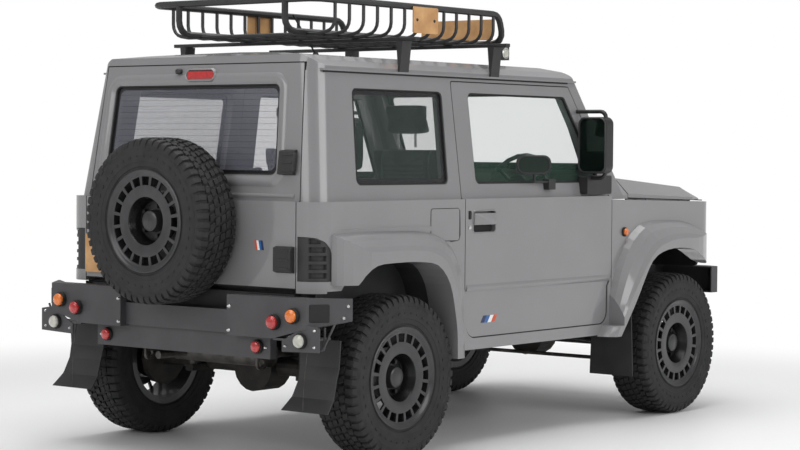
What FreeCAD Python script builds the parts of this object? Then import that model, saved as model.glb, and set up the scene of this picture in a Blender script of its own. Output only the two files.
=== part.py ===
# Lifted off-road 4x4: compact two-door body on a ladder frame, right-hand drive.
# Millimetres. +X forward, +Y left, +Z up. The origin is on the ground under the middle of the overall length.
import FreeCAD, Part
import math
import os
import Sketcher
from FreeCAD import Placement, Rotation, Vector

SIZES = {
    # whole vehicle
    "wheelbase": 2250,
    "rear_overhang": 720,
    "front_overhang": 580,
    "half_track": 700,
    # body shell
    "tail_from_axle": 490,
    "tail_step": 25,
    "tail_lean": 68,
    "nose_from_axle": 440,
    "body_half_width": 735,
    "belt_step": 23,
    "rail_half_width": 640,
    "sill_bottom": 430,
    "tail_bottom": 727,
    "belt_height": 1103,
    "rail_height": 1645,
    "roof_rise": 95,
    "wall_thickness": 55,
    "sheet_thickness": 20,
    "corner_radius": 85,
    "shut_gap": 5,
    "screen_base_from_axle": 425,
    "screen_top_from_axle": 725,
    "screen_base_height": 1150,
    "glass_thickness": 5,
    "glass_inset": 14,
    "glass_clearance": 0.3,
    "rain_gutter": 9,
    # doors
    "door_rear_from_axle": 520,
    "door_front_from_axle": 540,
    "door_bottom": 486,
    "door_top": 1622,
    "door_waist": 700,
    "door_tuck": 35,
    "door_corner_radius": 60,
    "hinge_outset": 10,
    "window_sill": 1168,
    "window_top": 1576,
    "window_radius": 28,
    "handle_length": 170,
    "handle_height": 95,
    # rear quarter and tailgate
    "quarter_window_rear_from_axle": 205,
    "quarter_window_front_from_axle": 447,
    "tailgate_bottom": 746,
    "tailgate_top": 1676,
    "tailgate_half_width": 616,
    "tailgate_top_half_width": 576,
    "plate_width": 331.5,
    "rear_window_left": 535,
    "rear_window_right": 475,
    "rear_window_bottom": 1210,
    "rear_window_top": 1590,
    "louvre_bottom": 776,
    "louvre_top": 966,
    "louvre_reach": 94,
    # bonnet and nose
    "fender_top": 1085,
    "fender_drop": 24,
    "bonnet_rear_from_axle": 337,
    "bonnet_front_from_axle": 420,
    "bonnet_height": 1186,
    "bonnet_half_width": 700,
    "bonnet_top_half_width": 620,
    "bonnet_drop": 53,
    "bonnet_crown": 14,
    "bonnet_thickness": 25,
    # wheels
    "tyre_radius": 353.5,
    "tyre_width": 218,
    "lug_depth": 11,
    "rim_radius": 220,
    "bead_radius": 203,
    "rim_half_width": 100,
    "rim_recess_radius": 102,
    "rim_recess_depth": 62,
    "slot_inner_radius": 152,
    "slot_outer_radius": 193,
    "slot_width": 41,
    "spindle_radius": 30,
    "cap_radius": 47,
    "running_clearance": 0.3,
    # flares
    "flare_outset": 87.5,
    "flare_lip": 52,
    # running gear
    "kingpin_half_width": 575,
    "kingpin_radius": 12,
    "steering_arm": 145,
    "tie_rod_radius": 12,
    "tie_rod_drop": 90,
    "axle_tube_radius": 38,
    "diff_radius": 112,
    "front_diff_offset": 100,
    "rail_half_spacing": 330,
    "rail_width": 60,
    "rail_depth": 95,
    "rail_middle_height": 445,
    "rail_kick": 75,
    "spring_radius": 45,
    "damper_radius": 22,
    "drive_shaft_radius": 28,
    # bumpers
    "rear_bumper_from_axle": 575,
    "rear_bumper_outset": 135,
    "rear_bumper_sweep": 150,
    "rear_bumper_top": 714,
    "rear_bumper_plate": 6,
    "front_bumper_top": 742,
    "front_bumper_height": 137,
    "lamp_radius": 27,
    # mirrors
    "mirror_outset": 115,
    "mirror_width": 160,
    "mirror_height": 270,
    "mirror_bottom": 1212,
    "mirror_depth": 60,
    "mirror_tube_radius": 10,
    # spare wheel
    "spare_offset": 40,
    "spare_drop": 93,
    # roof rack
    "basket_rear_from_axle": 290,
    "basket_length": 1370,
    "basket_half_width": 475,
    "basket_offset": -65,
    "basket_clearance": 75,
    "basket_depth": 151,
    "basket_front_rake": 40,
    "basket_bar_gap": 95,
    "basket_first_bar": 133,
    "basket_runner_spacing": 310,
    "board_height": 95,
    "board_length": 410,
    "tan_plate_width": 180,
    "tan_plate_height": 116,
    "tan_plate_from_axle": 355,
    "basket_tube_radius": 15,
    "basket_bar": 8,
    "crossbar_rear_from_axle": 180,
    "crossbar_front_from_axle": 850,
    "crossbar_half_length": 720,
    # cabin
    "floor_height": 556,
    "rear_floor_height": 700,
    "seat_width": 470,
    "seat_depth": 470,
    "seat_height": 860,
    "dashboard_depth": 225,
    "seat_from_axle": 545,
    "seat_offset": 335,
    "steering_wheel_radius": 182,
    "steering_wheel_height": 1140,
}

SECTIONS = {"tyre_sides": 20, "rim_sides": 20}


class Dim:
    """A size from the sheet, or a sum of such sizes, with the expression that binds a feature to it."""

    def __init__(self, value, text):
        self.value = float(value)
        self.text = text

    def __float__(self):
        return self.value

    def __add__(self, other):
        other = dim(other)
        return Dim(self.value + other.value, f"({self.text} + {other.text})")

    def __radd__(self, other):
        return dim(other) + self

    def __sub__(self, other):
        other = dim(other)
        return Dim(self.value - other.value, f"({self.text} - {other.text})")

    def __rsub__(self, other):
        return dim(other) - self

    def __mul__(self, other):
        other = dim(other)
        return Dim(self.value * other.value, f"({self.text} * {other.text})")

    def __rmul__(self, other):
        return self * other

    def __truediv__(self, other):
        other = dim(other)
        return Dim(self.value / other.value, f"({self.text} / {other.text})")

    def __neg__(self):
        return self * -1


def dim(value):
    if isinstance(value, Dim):
        return value
    return Dim(value, f"({value})" if value < 0 else f"{value}")


doc = FreeCAD.newDocument("OffRoader")


def fill_sheet():
    """Writes every driving size into the sheet under its own name and returns them as bound values."""
    sheet = doc.addObject("Spreadsheet::Sheet", "Sizes")
    for row, (name, value) in enumerate(SIZES.items(), start=1):
        sheet.set(f"A{row}", name)
        sheet.set(f"B{row}", str(value))
        sheet.setAlias(f"B{row}", name)
    doc.recompute()
    return {name: Dim(sheet.get(name), f"Sizes.{name}") for name in SIZES}


size = type("Size", (), fill_sheet())

overall_length = size.rear_overhang + size.wheelbase + size.front_overhang
rear_end = -overall_length / 2
front_end = overall_length / 2
rear_axle = rear_end + size.rear_overhang
front_axle = rear_axle + size.wheelbase
hub_height = size.tyre_radius
tail = rear_axle - size.tail_from_axle
nose = front_axle + size.nose_from_axle
waist_half_width = size.body_half_width - size.belt_step
screen_base = front_axle - size.screen_base_from_axle
screen_top = front_axle - size.screen_top_from_axle
door_rear = rear_axle + size.door_rear_from_axle
door_front = front_axle - size.door_front_from_axle
hinge_half_width = size.body_half_width + size.hinge_outset
frame_top = size.rail_middle_height + size.rail_depth
roof_height = size.rail_height + size.roof_rise
spare_height = size.belt_height - size.spare_drop
rear_bumper_half_width = size.body_half_width + size.rear_bumper_outset
flare_half_width = size.body_half_width + size.flare_outset
mirror_reach = size.body_half_width + size.mirror_outset
basket_floor = roof_height + size.basket_clearance
basket_top = basket_floor + size.basket_depth

# the same sizes and positions as plain numbers, for shapes that Part's functions make directly
mm = type("Millimetres", (), {name: float(value) for name, value in vars(size).items() if name in SIZES})
for name, value in (("rear_end", rear_end), ("front_end", front_end), ("rear_axle", rear_axle),
                    ("front_axle", front_axle), ("hub_height", hub_height), ("tail", tail), ("nose", nose),
                    ("waist_half_width", waist_half_width), ("screen_base", screen_base),
                    ("screen_top", screen_top), ("door_rear", door_rear), ("door_front", door_front),
                    ("roof_height", roof_height), ("spare_height", spare_height),
                    ("rear_bumper_half_width", rear_bumper_half_width),
                    ("flare_half_width", flare_half_width), ("mirror_reach", mirror_reach),
                    ("basket_floor", basket_floor), ("basket_top", basket_top),
                    # how far sideways the cutting blocks reach, past every panel
                    ("beyond_side", rear_bumper_half_width)):
    setattr(mm, name, float(value))

SIDES = {"right": -1, "left": 1}
nodes = {}


# Helpers for document objects whose sizes are bound to the sheet.

def bind(item, name, value):
    value = dim(value)
    item.setExpression(name, value.text)


def plane_of(body, plane):
    role = plane + "_Plane"
    return [feature for feature in body.Origin.OriginFeatures if feature.Role == role][0]


def draw(body, plane, outlines, start):
    """A sketch of closed straight outlines; every corner is held by two bound distances."""
    sketch = body.newObject("Sketcher::SketchObject", body.Name + "_sketch")
    sketch.AttachmentSupport = [(plane_of(body, plane), "")]
    sketch.MapMode = "FlatFace"
    bind(sketch, "AttachmentOffset.Base.z", start)
    for corners in outlines:
        points = [Vector(float(a), float(b), 0) for a, b in corners]
        first = sketch.GeometryCount
        count = len(points)
        for index, point in enumerate(points):
            sketch.addGeometry(Part.LineSegment(point, points[(index + 1) % count]), False)
        for index in range(count):
            follower = first + (index + 1) % count
            sketch.addConstraint(Sketcher.Constraint("Coincident", first + index, 2, follower, 1))
        for index, (a, b) in enumerate(corners):
            for kind, value in (("DistanceX", dim(a)), ("DistanceY", dim(b))):
                held = sketch.addConstraint(
                    Sketcher.Constraint(kind, -1, 1, first + index, 1, value.value))
                sketch.setExpression(f"Constraints[{held}]", value.text)
    return sketch


def pad(name, plane, outlines, low, high):
    """A body padded between two levels along its plane's own axis: Z for XY, X for YZ and Y for XZ."""
    body = doc.addObject("PartDesign::Body", name)
    body.AllowCompound = True
    start = -dim(high) if plane == "XZ" else dim(low)
    sketch = draw(body, plane, outlines, start)
    feature = body.newObject("PartDesign::Pad", name + "_pad")
    feature.Profile = sketch
    bind(feature, "Length", dim(high) - dim(low))
    body.Tip = feature
    return body


def box(name, low, high):
    """A primitive box between two corners."""
    item = doc.addObject("Part::Box", name)
    for side, axis, a, b in zip(("Length", "Width", "Height"), "xyz", low, high):
        bind(item, side, dim(b) - dim(a))
        bind(item, "Placement.Base." + axis, a)
    return item


TURNS = {"x": Rotation(Vector(0, 1, 0), 90), "y": Rotation(Vector(1, 0, 0), -90), "z": Rotation()}


def rod(name, axis, start, radius, length, sides=12):
    """A faceted bar that runs from its start point along one axis; no sides make it a true cylinder."""
    if sides:
        item = doc.addObject("Part::Prism", name)
        item.Polygon = sides
        bind(item, "Circumradius", radius)
    else:
        item = doc.addObject("Part::Cylinder", name)
        bind(item, "Radius", radius)
    item.Placement = Placement(Vector(), TURNS[axis])
    bind(item, "Height", length)
    for letter, value in zip("xyz", start):
        bind(item, "Placement.Base." + letter, value)
    return item


def cut(name, base, tool):
    item = doc.addObject("Part::Cut", name)
    item.Base = base
    item.Tool = tool
    return item


def join(name, items):
    item = doc.addObject("Part::MultiFuse", name)
    item.Shapes = items
    item.Refine = True
    return item


def group(name, items):
    """Like pieces that share a node and don't touch."""
    item = doc.addObject("Part::Compound", name)
    item.Links = items
    return item


def mirrored(name, source):
    """The same piece on the other side of the vehicle."""
    item = doc.addObject("Part::Mirroring", name)
    item.Source = source
    item.Normal = Vector(0, 1, 0)
    return item


def shaped(name, shape):
    """A feature whose shape is worked out from the sheet's sizes by Part's own functions."""
    item = doc.addObject("Part::Feature", name)
    item.Shape = shape
    return item


def keep(label, item):
    """Marks an object as a sub-part that is written under its label."""
    item.Label = label
    nodes[label] = item
    return item


# Helpers for shapes made directly.

def point_on(plane, a, b, level=0):
    a, b, level = float(a), float(b), float(level)
    return {"XY": Vector(a, b, level), "XZ": Vector(a, level, b), "YZ": Vector(level, a, b)}[plane]


def rounded_wire(points, radius):
    """A closed wire through the points, each corner turned by an arc of the radius or of its own."""
    radii = [float(r) for r in radius] if isinstance(radius, (list, tuple)) else [float(radius)] * len(points)
    edges = []
    ends = []
    for index, corner in enumerate(points):
        back = points[index - 1] - corner
        ahead = points[(index + 1) % len(points)] - corner
        half = back.getAngle(ahead) / 2
        reach = radii[index] / math.tan(half) if radii[index] else 0
        reach = min(reach, back.Length * 0.49, ahead.Length * 0.49)
        back.normalize()
        ahead.normalize()
        start, end = corner + back * reach, corner + ahead * reach
        if reach:
            turn = reach * math.tan(half)
            inner = back + ahead
            inner.normalize()
            middle = corner + inner * (turn / math.sin(half) - turn)
            edges.append(Part.Arc(start, middle, end).toShape())
        ends.append((start, end))
    for index in range(len(points)):
        start, end = ends[index][1], ends[(index + 1) % len(points)][0]
        if start.distanceToPoint(end) > 0.001:
            edges.append(Part.LineSegment(start, end).toShape())
    return Part.Wire(Part.__sortEdges__(edges))


def slab(plane, corners, low, high, radius=0):
    """A solid between two levels along the plane's own axis, with its corners rounded."""
    low, high = float(low), float(high)
    points = [point_on(plane, a, b, low) for a, b in corners]
    face = Part.Face(rounded_wire(points, radius))
    return face.extrude(point_on(plane, 0, 0, high - low))


def mirror_shape(shape):
    return shape.mirror(Vector(0, 0, 0), Vector(0, 1, 0))


def both_sides(shape):
    """The right-hand shape and its mirror image as one compound."""
    return Part.makeCompound([shape, mirror_shape(shape)])


def on_side(shape, side):
    return shape if side < 0 else mirror_shape(shape)


def facet_solid(rings):
    """A closed solid from rings of points, each ring joined to the next one and the last to the first."""
    faces = []
    for first, second in zip(rings, rings[1:] + rings[:1]):
        for index in range(len(first)):
            after = (index + 1) % len(first)
            loop = []
            for point in (first[index], first[after], second[after], second[index]):
                if all(point.distanceToPoint(other) > 1e-6 for other in loop[:1] + loop[-1:]):
                    loop.append(point)
            if len(loop) > 2:
                faces.append(Part.Face(Part.makePolygon(loop + loop[:1])))
    return closed_solid(faces)


def closed_solid(faces):
    shell = Part.makeShell(faces)
    shell.sewShape()
    solid = Part.makeSolid(shell)
    if solid.Volume < 0:
        solid.reverse()
    return solid


def facet_ring(profile, sides, centre):
    """A ring of flat facets about the Y axis; the profile gives radius and distance along Y."""
    rings = []
    for radius, level in profile:
        stretch = float(radius) / math.cos(math.pi / sides)
        points = []
        for index in range(sides):
            angle = 2 * math.pi * (index + 0.5) / sides
            points.append(centre + Vector(stretch * math.sin(angle), float(level),
                                          -stretch * math.cos(angle)))
        rings.append(points)
    return facet_solid(rings)


def tube_path(points, radius, bend=0, sides=8):
    """A faceted bar along straight runs, each corner turned in short mitred steps."""
    points = [Vector(*[float(value) for value in point]) for point in points]
    path = [points[0]]
    steps = 4
    for index in range(1, len(points) - 1):
        corner = points[index]
        back, ahead = points[index - 1] - corner, points[index + 1] - corner
        half = back.getAngle(ahead) / 2
        reach = min(float(bend) / math.tan(half), back.Length * 0.49, ahead.Length * 0.49)
        back.normalize()
        ahead.normalize()
        turn = reach * math.tan(half)
        if turn < float(radius):
            path.append(corner)
            continue
        inward = back + ahead
        inward.normalize()
        centre = corner + inward * (turn / math.sin(half))
        start, end = corner + back * reach - centre, corner + ahead * reach - centre
        axis = start.cross(end)
        total = math.degrees(start.getAngle(end))
        for step in range(steps + 1):
            path.append(centre + Rotation(axis, total * step / steps).multVec(start))
    path.append(points[-1])
    directions = [(after - before).normalize() for before, after in zip(path, path[1:])]
    across = directions[0].cross(Vector(0, 0, 1) if abs(directions[0].z) < 0.9
                                 else Vector(0, 1, 0)).normalize()
    up = across.cross(directions[0]).normalize()
    rings = []
    offsets = []
    for index in range(sides):
        angle = 2 * math.pi * (index + 0.5) / sides
        offsets.append(across * (float(radius) * math.cos(angle)) + up * (float(radius) * math.sin(angle)))
    ring = [path[0] + offset for offset in offsets]
    rings.append(ring)
    for place, direction in enumerate(directions):
        target = path[place + 1]
        plane = direction if place == len(directions) - 1 else (direction + directions[place + 1]).normalize()
        ring = [point + direction * ((target - point).dot(plane) / direction.dot(plane)) for point in ring]
        rings.append(ring)
    faces = []
    for first, second in zip(rings, rings[1:]):
        for index in range(sides):
            after = (index + 1) % sides
            faces.append(Part.Face(Part.makePolygon([first[index], first[after], second[after],
                                                     second[index], first[index]])))
    faces.append(Part.Face(Part.makePolygon(rings[0][::-1] + rings[0][-1:])))
    faces.append(Part.Face(Part.makePolygon(rings[-1] + rings[-1][:1])))
    return closed_solid(faces)


def straight_bar(start, end, radius):
    return tube_path([tuple(start), tuple(end)], radius)


def smooth_line(points, count):
    """Points spaced evenly along a soft curve that runs through the given ones."""
    controls = [points[0]] + list(points) + [points[-1]]
    fine = []
    steps = 12
    for index in range(1, len(controls) - 2):
        before, start, end, after = controls[index - 1:index + 3]
        for step in range(steps):
            t = step / steps
            near = zip(before, start, end, after)
            fine.append(tuple((2 * b + (c - a) * t + (2 * a - 5 * b + 4 * c - d) * t ** 2
                               + (3 * b - a - 3 * c + d) * t ** 3) / 2 for a, b, c, d in near))
    fine.append(tuple(points[-1]))
    runs = [0]
    for first, second in zip(fine, fine[1:]):
        runs.append(runs[-1] + math.dist(first, second))
    line = []
    place = 0
    for index in range(count):
        wanted = runs[-1] * index / (count - 1)
        while place < len(fine) - 2 and runs[place + 1] < wanted:
            place += 1
        share = (wanted - runs[place]) / (runs[place + 1] - runs[place])
        line.append(tuple(a + (b - a) * share for a, b in zip(fine[place], fine[place + 1])))
    return line


# Master forms of the body: the outer skin and the same skin moved inwards.

def lower_form(inset):
    """The body below the belt, from tail to nose, moved in by the inset at the tail and sides."""
    inset = float(inset)
    low, high = mm.sill_bottom, mm.belt_height
    half = mm.body_half_width - inset
    back = mm.tail + inset
    front = mm.nose
    corners = [(back, -half), (front, -half), (front, half), (back, half)]
    radius = max(mm.corner_radius - inset, mm.glass_inset)
    return slab("XY", corners, low, high, [radius, 0, 0, radius])


def upper_form(inset):
    """The leaning glasshouse above the belt, moved in by the inset on every wall."""
    inset = float(inset)
    low = mm.belt_height - mm.belt_step
    high = mm.roof_height + mm.wall_thickness
    lean = (mm.waist_half_width - mm.rail_half_width) / (mm.rail_height - mm.belt_height)
    tail_slope = mm.tail_lean / (mm.tailgate_top - mm.belt_height)
    screen_slope = (mm.screen_base - mm.screen_top) / (mm.rail_height - mm.screen_base_height)
    halves, backs, fronts = [], [], []
    for level in (low, high):
        halves.append(mm.waist_half_width - (level - mm.belt_height) * lean - inset)
        backs.append(mm.tail + mm.tail_step + (level - mm.belt_height) * tail_slope + inset)
        fronts.append(mm.screen_base - (level - mm.screen_base_height) * screen_slope - inset
                      * math.hypot(1, screen_slope))
    across = slab("YZ", [(-halves[0], low), (halves[0], low), (halves[1], high), (-halves[1], high)],
                  mm.rear_end, mm.front_end)
    along = slab("XZ", [(backs[0], low), (fronts[0], low), (fronts[1], high), (backs[1], high)],
                 -mm.body_half_width, mm.body_half_width)
    form = across.common(along)
    corner = max(mm.corner_radius - inset, mm.glass_inset)
    rear, front = [], []
    for edge in form.Edges:
        if abs(edge.Vertexes[0].Z - edge.Vertexes[-1].Z) > mm.corner_radius:
            (rear if edge.CenterOfMass.x < 0 else front).append(edge)
    return form.makeFillet(corner, rear).makeFillet(mm.glass_inset, front)


def band(form, outer, inner):
    """The layer of a form between two insets."""
    return form(outer).cut(form(inner))


def side_prism(corners, radius=0):
    """A cut-out seen from the right, from outside the body to its middle."""
    return slab("XZ", corners, -mm.beyond_side, 0, radius)


def door_outline(grow):
    """The door seen from the side: jogs in below the waist and follows the screen pillar above it."""
    grow = float(grow)
    back, front = mm.door_rear - grow, mm.door_front + grow
    tuck = mm.door_tuck
    waist = mm.door_waist
    low, high = mm.door_bottom - grow, mm.door_top + grow
    pillar_run = mm.screen_top_from_axle - mm.screen_base_from_axle
    pillar_rise = mm.rail_height - mm.screen_base_height
    pillar_foot = mm.belt_height + mm.handle_height
    reach = (high - pillar_foot) * pillar_run / pillar_rise
    return [(back + tuck / 2, low), (front - tuck, low), (front - tuck, waist - tuck),
            (front, waist + tuck / 2), (front, pillar_foot), (front - reach, high), (back, high),
            (back, waist)]


def door_radii(grow):
    corner = mm.door_corner_radius + float(grow)
    small = mm.glass_inset
    return [corner, corner, small, small, small, small, small, small]


def window_outline(shrink):
    """The door window: upright at the back, leaning with the screen pillar at the front."""
    shrink = float(shrink)
    margin = mm.wall_thickness
    back = mm.door_rear + margin * 2.1 + shrink
    low, high = mm.window_sill + shrink, mm.window_top - shrink
    outline = door_outline(0)
    slope = (outline[5][0] - outline[4][0]) / (outline[5][1] - outline[4][1])
    front_high = outline[5][0] + (high - outline[5][1]) * slope - margin * 1.25 - shrink
    front_low = outline[5][0] + (low - outline[5][1]) * slope - margin * 1.25 - shrink
    return [(back, low), (min(front_low, mm.door_front - margin - shrink), low), (front_high, high),
            (back, high)]


def quarter_outline(shrink):
    shrink = float(shrink)
    back = mm.rear_axle - mm.quarter_window_rear_from_axle + shrink
    front = mm.rear_axle + mm.quarter_window_front_from_axle - shrink
    low, high = mm.window_sill + shrink, mm.window_top - shrink
    lean = mm.glass_inset
    return [(back, low), (front - lean, low), (front, high), (back + lean * 2, high)]


ARCH_SHARES = {
    # distance ahead of the axle and height above the hub, as shares of the tyre radius
    "front": [(-1.66, 0.16), (-1.25, 0.66), (-0.95, 1.08), (-0.77, 1.25), (-0.50, 1.34), (-0.17, 1.37),
              (0.20, 1.35), (0.40, 1.30), (0.58, 1.22), (0.78, 1.14), (1.00, 1.10), (1.45, 1.10)],
    "rear": [(-0.95, 1.08), (-0.86, 1.18), (-0.77, 1.27), (-0.66, 1.34), (-0.50, 1.38), (-0.21, 1.39),
             (0.12, 1.39), (0.41, 1.37), (0.57, 1.34), (0.71, 1.25), (0.83, 1.10), (0.90, 0.92),
             (0.95, 0.71), (0.99, 0.49), (1.00, 0.16)],
}


def arch_outline(which):
    """The wheel opening, closed far below the sill."""
    axle = {"front": front_axle, "rear": rear_axle}[which]
    radius = mm.tyre_radius
    shares = smooth_line(ARCH_SHARES[which], 26)
    points = [(float(axle) + a * radius, mm.hub_height + b * radius) for a, b in shares]
    below = mm.hub_height - radius * 0.3
    first, last = points[0], points[-1]
    if which == "rear":
        behind = first[0] - radius * 0.25
        return [(behind, below), (behind, first[1])] + points + [(last[0], below)]
    slope = (points[1][0] - first[0]) / (points[1][1] - first[1])
    return [(first[0] - (first[1] - below) * slope, below)] + points + [(last[0], below)]


def arch_cutter(which, inner):
    """The wheel opening as a solid, from outside the flares in to a distance from the middle."""
    return slab("XZ", arch_outline(which), -mm.beyond_side * 1.1, -float(inner))


# Body panels.

def side_panels():
    wall = mm.wall_thickness
    low_shell = band(lower_form, 0, wall)
    high_shell = band(upper_form, 0, wall)
    belt = mm.belt_height
    back = mm.tail - wall
    pillar_run = mm.screen_top_from_axle - mm.screen_base_from_axle
    pillar_rise = mm.rail_height - mm.screen_base_height
    front = mm.screen_base + (mm.screen_base_height - belt) * pillar_run / pillar_rise
    opening = side_prism(door_outline(size.shut_gap), door_radii(size.shut_gap))
    half = mm.beyond_side
    lower = slab("XZ", [(back, mm.tail_bottom), (mm.rear_axle, mm.tail_bottom),
                        (mm.rear_axle, mm.sill_bottom), (mm.door_front, mm.sill_bottom),
                        (mm.door_front, belt), (back, belt)], -half, 0)
    upper = slab("XZ", [(back, belt - mm.belt_step), (front, belt - mm.belt_step),
                        (front, mm.rail_height), (back, mm.rail_height)], -half, 0)
    gate = mm.tailgate_half_width + mm.shut_gap
    lean = (mm.tailgate_half_width - mm.tailgate_top_half_width) / (mm.tailgate_top - belt)
    above = mm.roof_height * 1.2
    beside_gate = slab("YZ", [(-gate, 0), (0, 0), (0, above), (-gate + (above - belt) * lean, above),
                              (-gate, belt)], back, mm.rear_axle - mm.rim_radius)
    ahead_of_seal = slab("XY", [(mm.screen_top - wall * 1.5, -mm.rail_half_width + wall * 1.6),
                                (mm.nose, -mm.rail_half_width + wall * 1.6),
                                (mm.nose, 0), (mm.screen_top - wall * 1.5, 0)], 0,
                         mm.roof_height * 1.2)
    over_fender = slab("XZ", [(mm.door_front, 0), (mm.nose, 0), (mm.nose, mm.fender_top + mm.glass_clearance),
                              (mm.door_front, mm.fender_top + mm.glass_clearance)], -half, 0)
    low_part = low_shell.common(lower)
    high_part = high_shell.common(upper).cut(ahead_of_seal)
    panel = low_part.fuse(high_part).cut(opening).cut(beside_gate)
    panel = panel.cut(side_prism(quarter_outline(0), size.window_radius))
    panel = panel.cut(arch_cutter("rear", 0))
    panel = panel.cut(louvre_recess(0)).cut(over_fender)
    return panel.removeSplitter()


def louvre_recess(shrink):
    """The block that the corner louvre fills, wrapped round the rear corner."""
    shrink = float(shrink)
    reach = mm.louvre_reach
    front = mm.tail + reach - shrink
    low, high = mm.louvre_bottom + shrink, mm.louvre_top - shrink
    behind = mm.tail - reach / 3
    outline = [(behind, low), (front, low), (front, high - reach * 0.88),
               (front - reach * 0.10, high - reach * 0.60), (front - reach * 0.39, high - reach * 0.30),
               (front - reach * 0.73, high - reach * 0.12), (behind, high)]
    inner = mm.tailgate_half_width + mm.shut_gap * 2 + shrink
    block = slab("XZ", outline, -mm.beyond_side, -inner)
    return block.common(band(lower_form, -mm.glass_thickness, mm.wall_thickness / 2))


def corner_louvres():
    """Black corner panels with open slots between slats, on the rounded part alone."""
    block = louvre_recess(size.glass_clearance).common(lower_form(mm.glass_inset / 4))
    rim = mm.glass_inset
    front_shares = (0.30, 0.30, 0.31, 0.35, 0.56)
    pitch = (mm.louvre_top - mm.louvre_bottom - rim) / len(front_shares)
    depth = mm.wall_thickness / 3
    for index, share in enumerate(front_shares):
        low = mm.louvre_bottom + rim + pitch * index
        front = mm.tail + mm.louvre_reach * (1 - share)
        slot = slab("XZ", [(mm.tail - depth, low), (front, low), (front, low + pitch * 0.64),
                           (mm.tail - depth, low + pitch * 0.64)],
                    -mm.beyond_side, -mm.body_half_width + mm.wall_thickness)
        block = block.cut(slot.common(band(lower_form, -mm.glass_thickness, depth)))
    return block


def roof_panel():
    """Crowned roof with its shoulders, hollow below, and a gutter along each side."""
    top = mm.roof_height
    half = mm.rail_half_width
    wall = mm.wall_thickness
    low = mm.rail_height
    section = [(-half * 1.1, low), (half * 1.1, low), (half * 1.02, low + wall * 0.15),
               (half * 0.945, low + wall * 0.85), (half * 0.875, low + wall * 1.22),
               (half * 0.45, top - wall * 0.15), (0, top), (-half * 0.45, top - wall * 0.15),
               (-half * 0.875, low + wall * 1.22), (-half * 0.945, low + wall * 0.85),
               (-half * 1.02, low + wall * 0.15)]
    back = mm.tail
    front = mm.screen_base
    outer = slab("YZ", section, back, front)
    profile = [(back, low), (front, low), (mm.screen_top + wall * 0.6, low + wall * 0.2),
               (mm.screen_top - wall, low + wall * 0.95), (mm.screen_top - wall * 5, top - wall * 0.35),
               (mm.rear_axle + wall * 8, top), (mm.tail + wall * 6, top),
               (mm.tail + wall * 3, top - wall * 0.3), (back, top - wall * 0.8)]
    outer = outer.common(slab("XZ", profile, -half * 1.2, half * 1.2)).common(upper_form(0))
    skin = mm.sheet_thickness
    inner_section = [(-half + wall, low - skin), (half - wall, low - skin), (half - wall, low + wall * 0.85),
                     (half * 0.45, top - wall * 0.15 - skin), (-half * 0.45, top - wall * 0.15 - skin),
                     (-half + wall, low + wall * 0.85)]
    hollow = slab("YZ", inner_section, mm.tail + wall * 3, mm.screen_top - wall * 1.6)
    outer = outer.cut(hollow)
    gate_half = mm.tailgate_top_half_width + mm.shut_gap * 2
    notch_top = mm.tailgate_top + mm.shut_gap
    notch = slab("YZ", [(-gate_half, low - skin), (gate_half, low - skin), (gate_half, notch_top),
                        (-gate_half, notch_top)], mm.tail - wall, mm.tail + wall * 3.1)
    outer = outer.cut(notch)
    gutter = slab("YZ", [(-half - mm.rain_gutter, low), (-half + wall * 0.4, low),
                         (-half + wall * 0.4, low + wall * 0.16),
                         (-half - mm.rain_gutter, low + wall * 0.16)], mm.tail + wall * 2.4,
                  mm.screen_top - wall * 0.2)
    return outer.fuse([gutter, mirror_shape(gutter)]).removeSplitter()


def windscreen_outline(shrink):
    """The windscreen seen from the front."""
    shrink = float(shrink)
    half_low = mm.rail_half_width - mm.wall_thickness - shrink
    half_high = half_low - mm.wall_thickness
    low = mm.screen_base_height + mm.wall_thickness * 1.4 + shrink
    high = mm.rail_height - mm.wall_thickness * 0.5 - shrink
    return [(-half_low, low), (half_low, low), (half_high, high), (-half_high, high)]


def front_wall(outer, inner):
    """The leaning layer that holds the windscreen, between two depths behind the outer skin."""
    wall = mm.wall_thickness
    half = mm.rail_half_width - wall * 1.6 - mm.glass_clearance
    layer = band(upper_form, outer, inner)
    window_band = slab("YZ", [(-half, mm.screen_base_height + wall), (half, mm.screen_base_height + wall),
                              (half, mm.rail_height), (-half, mm.rail_height)],
                       mm.screen_top - wall * 1.5, mm.nose)
    return layer.common(window_band)


def windscreen_frame():
    frame = front_wall(0, size.wall_thickness)
    return frame.cut(slab("YZ", windscreen_outline(0), mm.screen_top - mm.wall_thickness * 2,
                          mm.nose, size.window_radius))


def fixed_glass():
    """Windscreen and both quarter windows."""
    inset = mm.glass_inset
    pane = mm.glass_thickness
    gap = mm.glass_clearance
    screen = front_wall(inset, inset + pane).common(
        slab("YZ", windscreen_outline(gap), mm.screen_top - mm.wall_thickness * 2, mm.nose,
             mm.window_radius - gap))
    quarter = band(upper_form, inset, inset + pane).common(
        side_prism(quarter_outline(gap), mm.window_radius - gap))
    return Part.makeCompound([screen] + [quarter, mirror_shape(quarter)])


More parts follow.
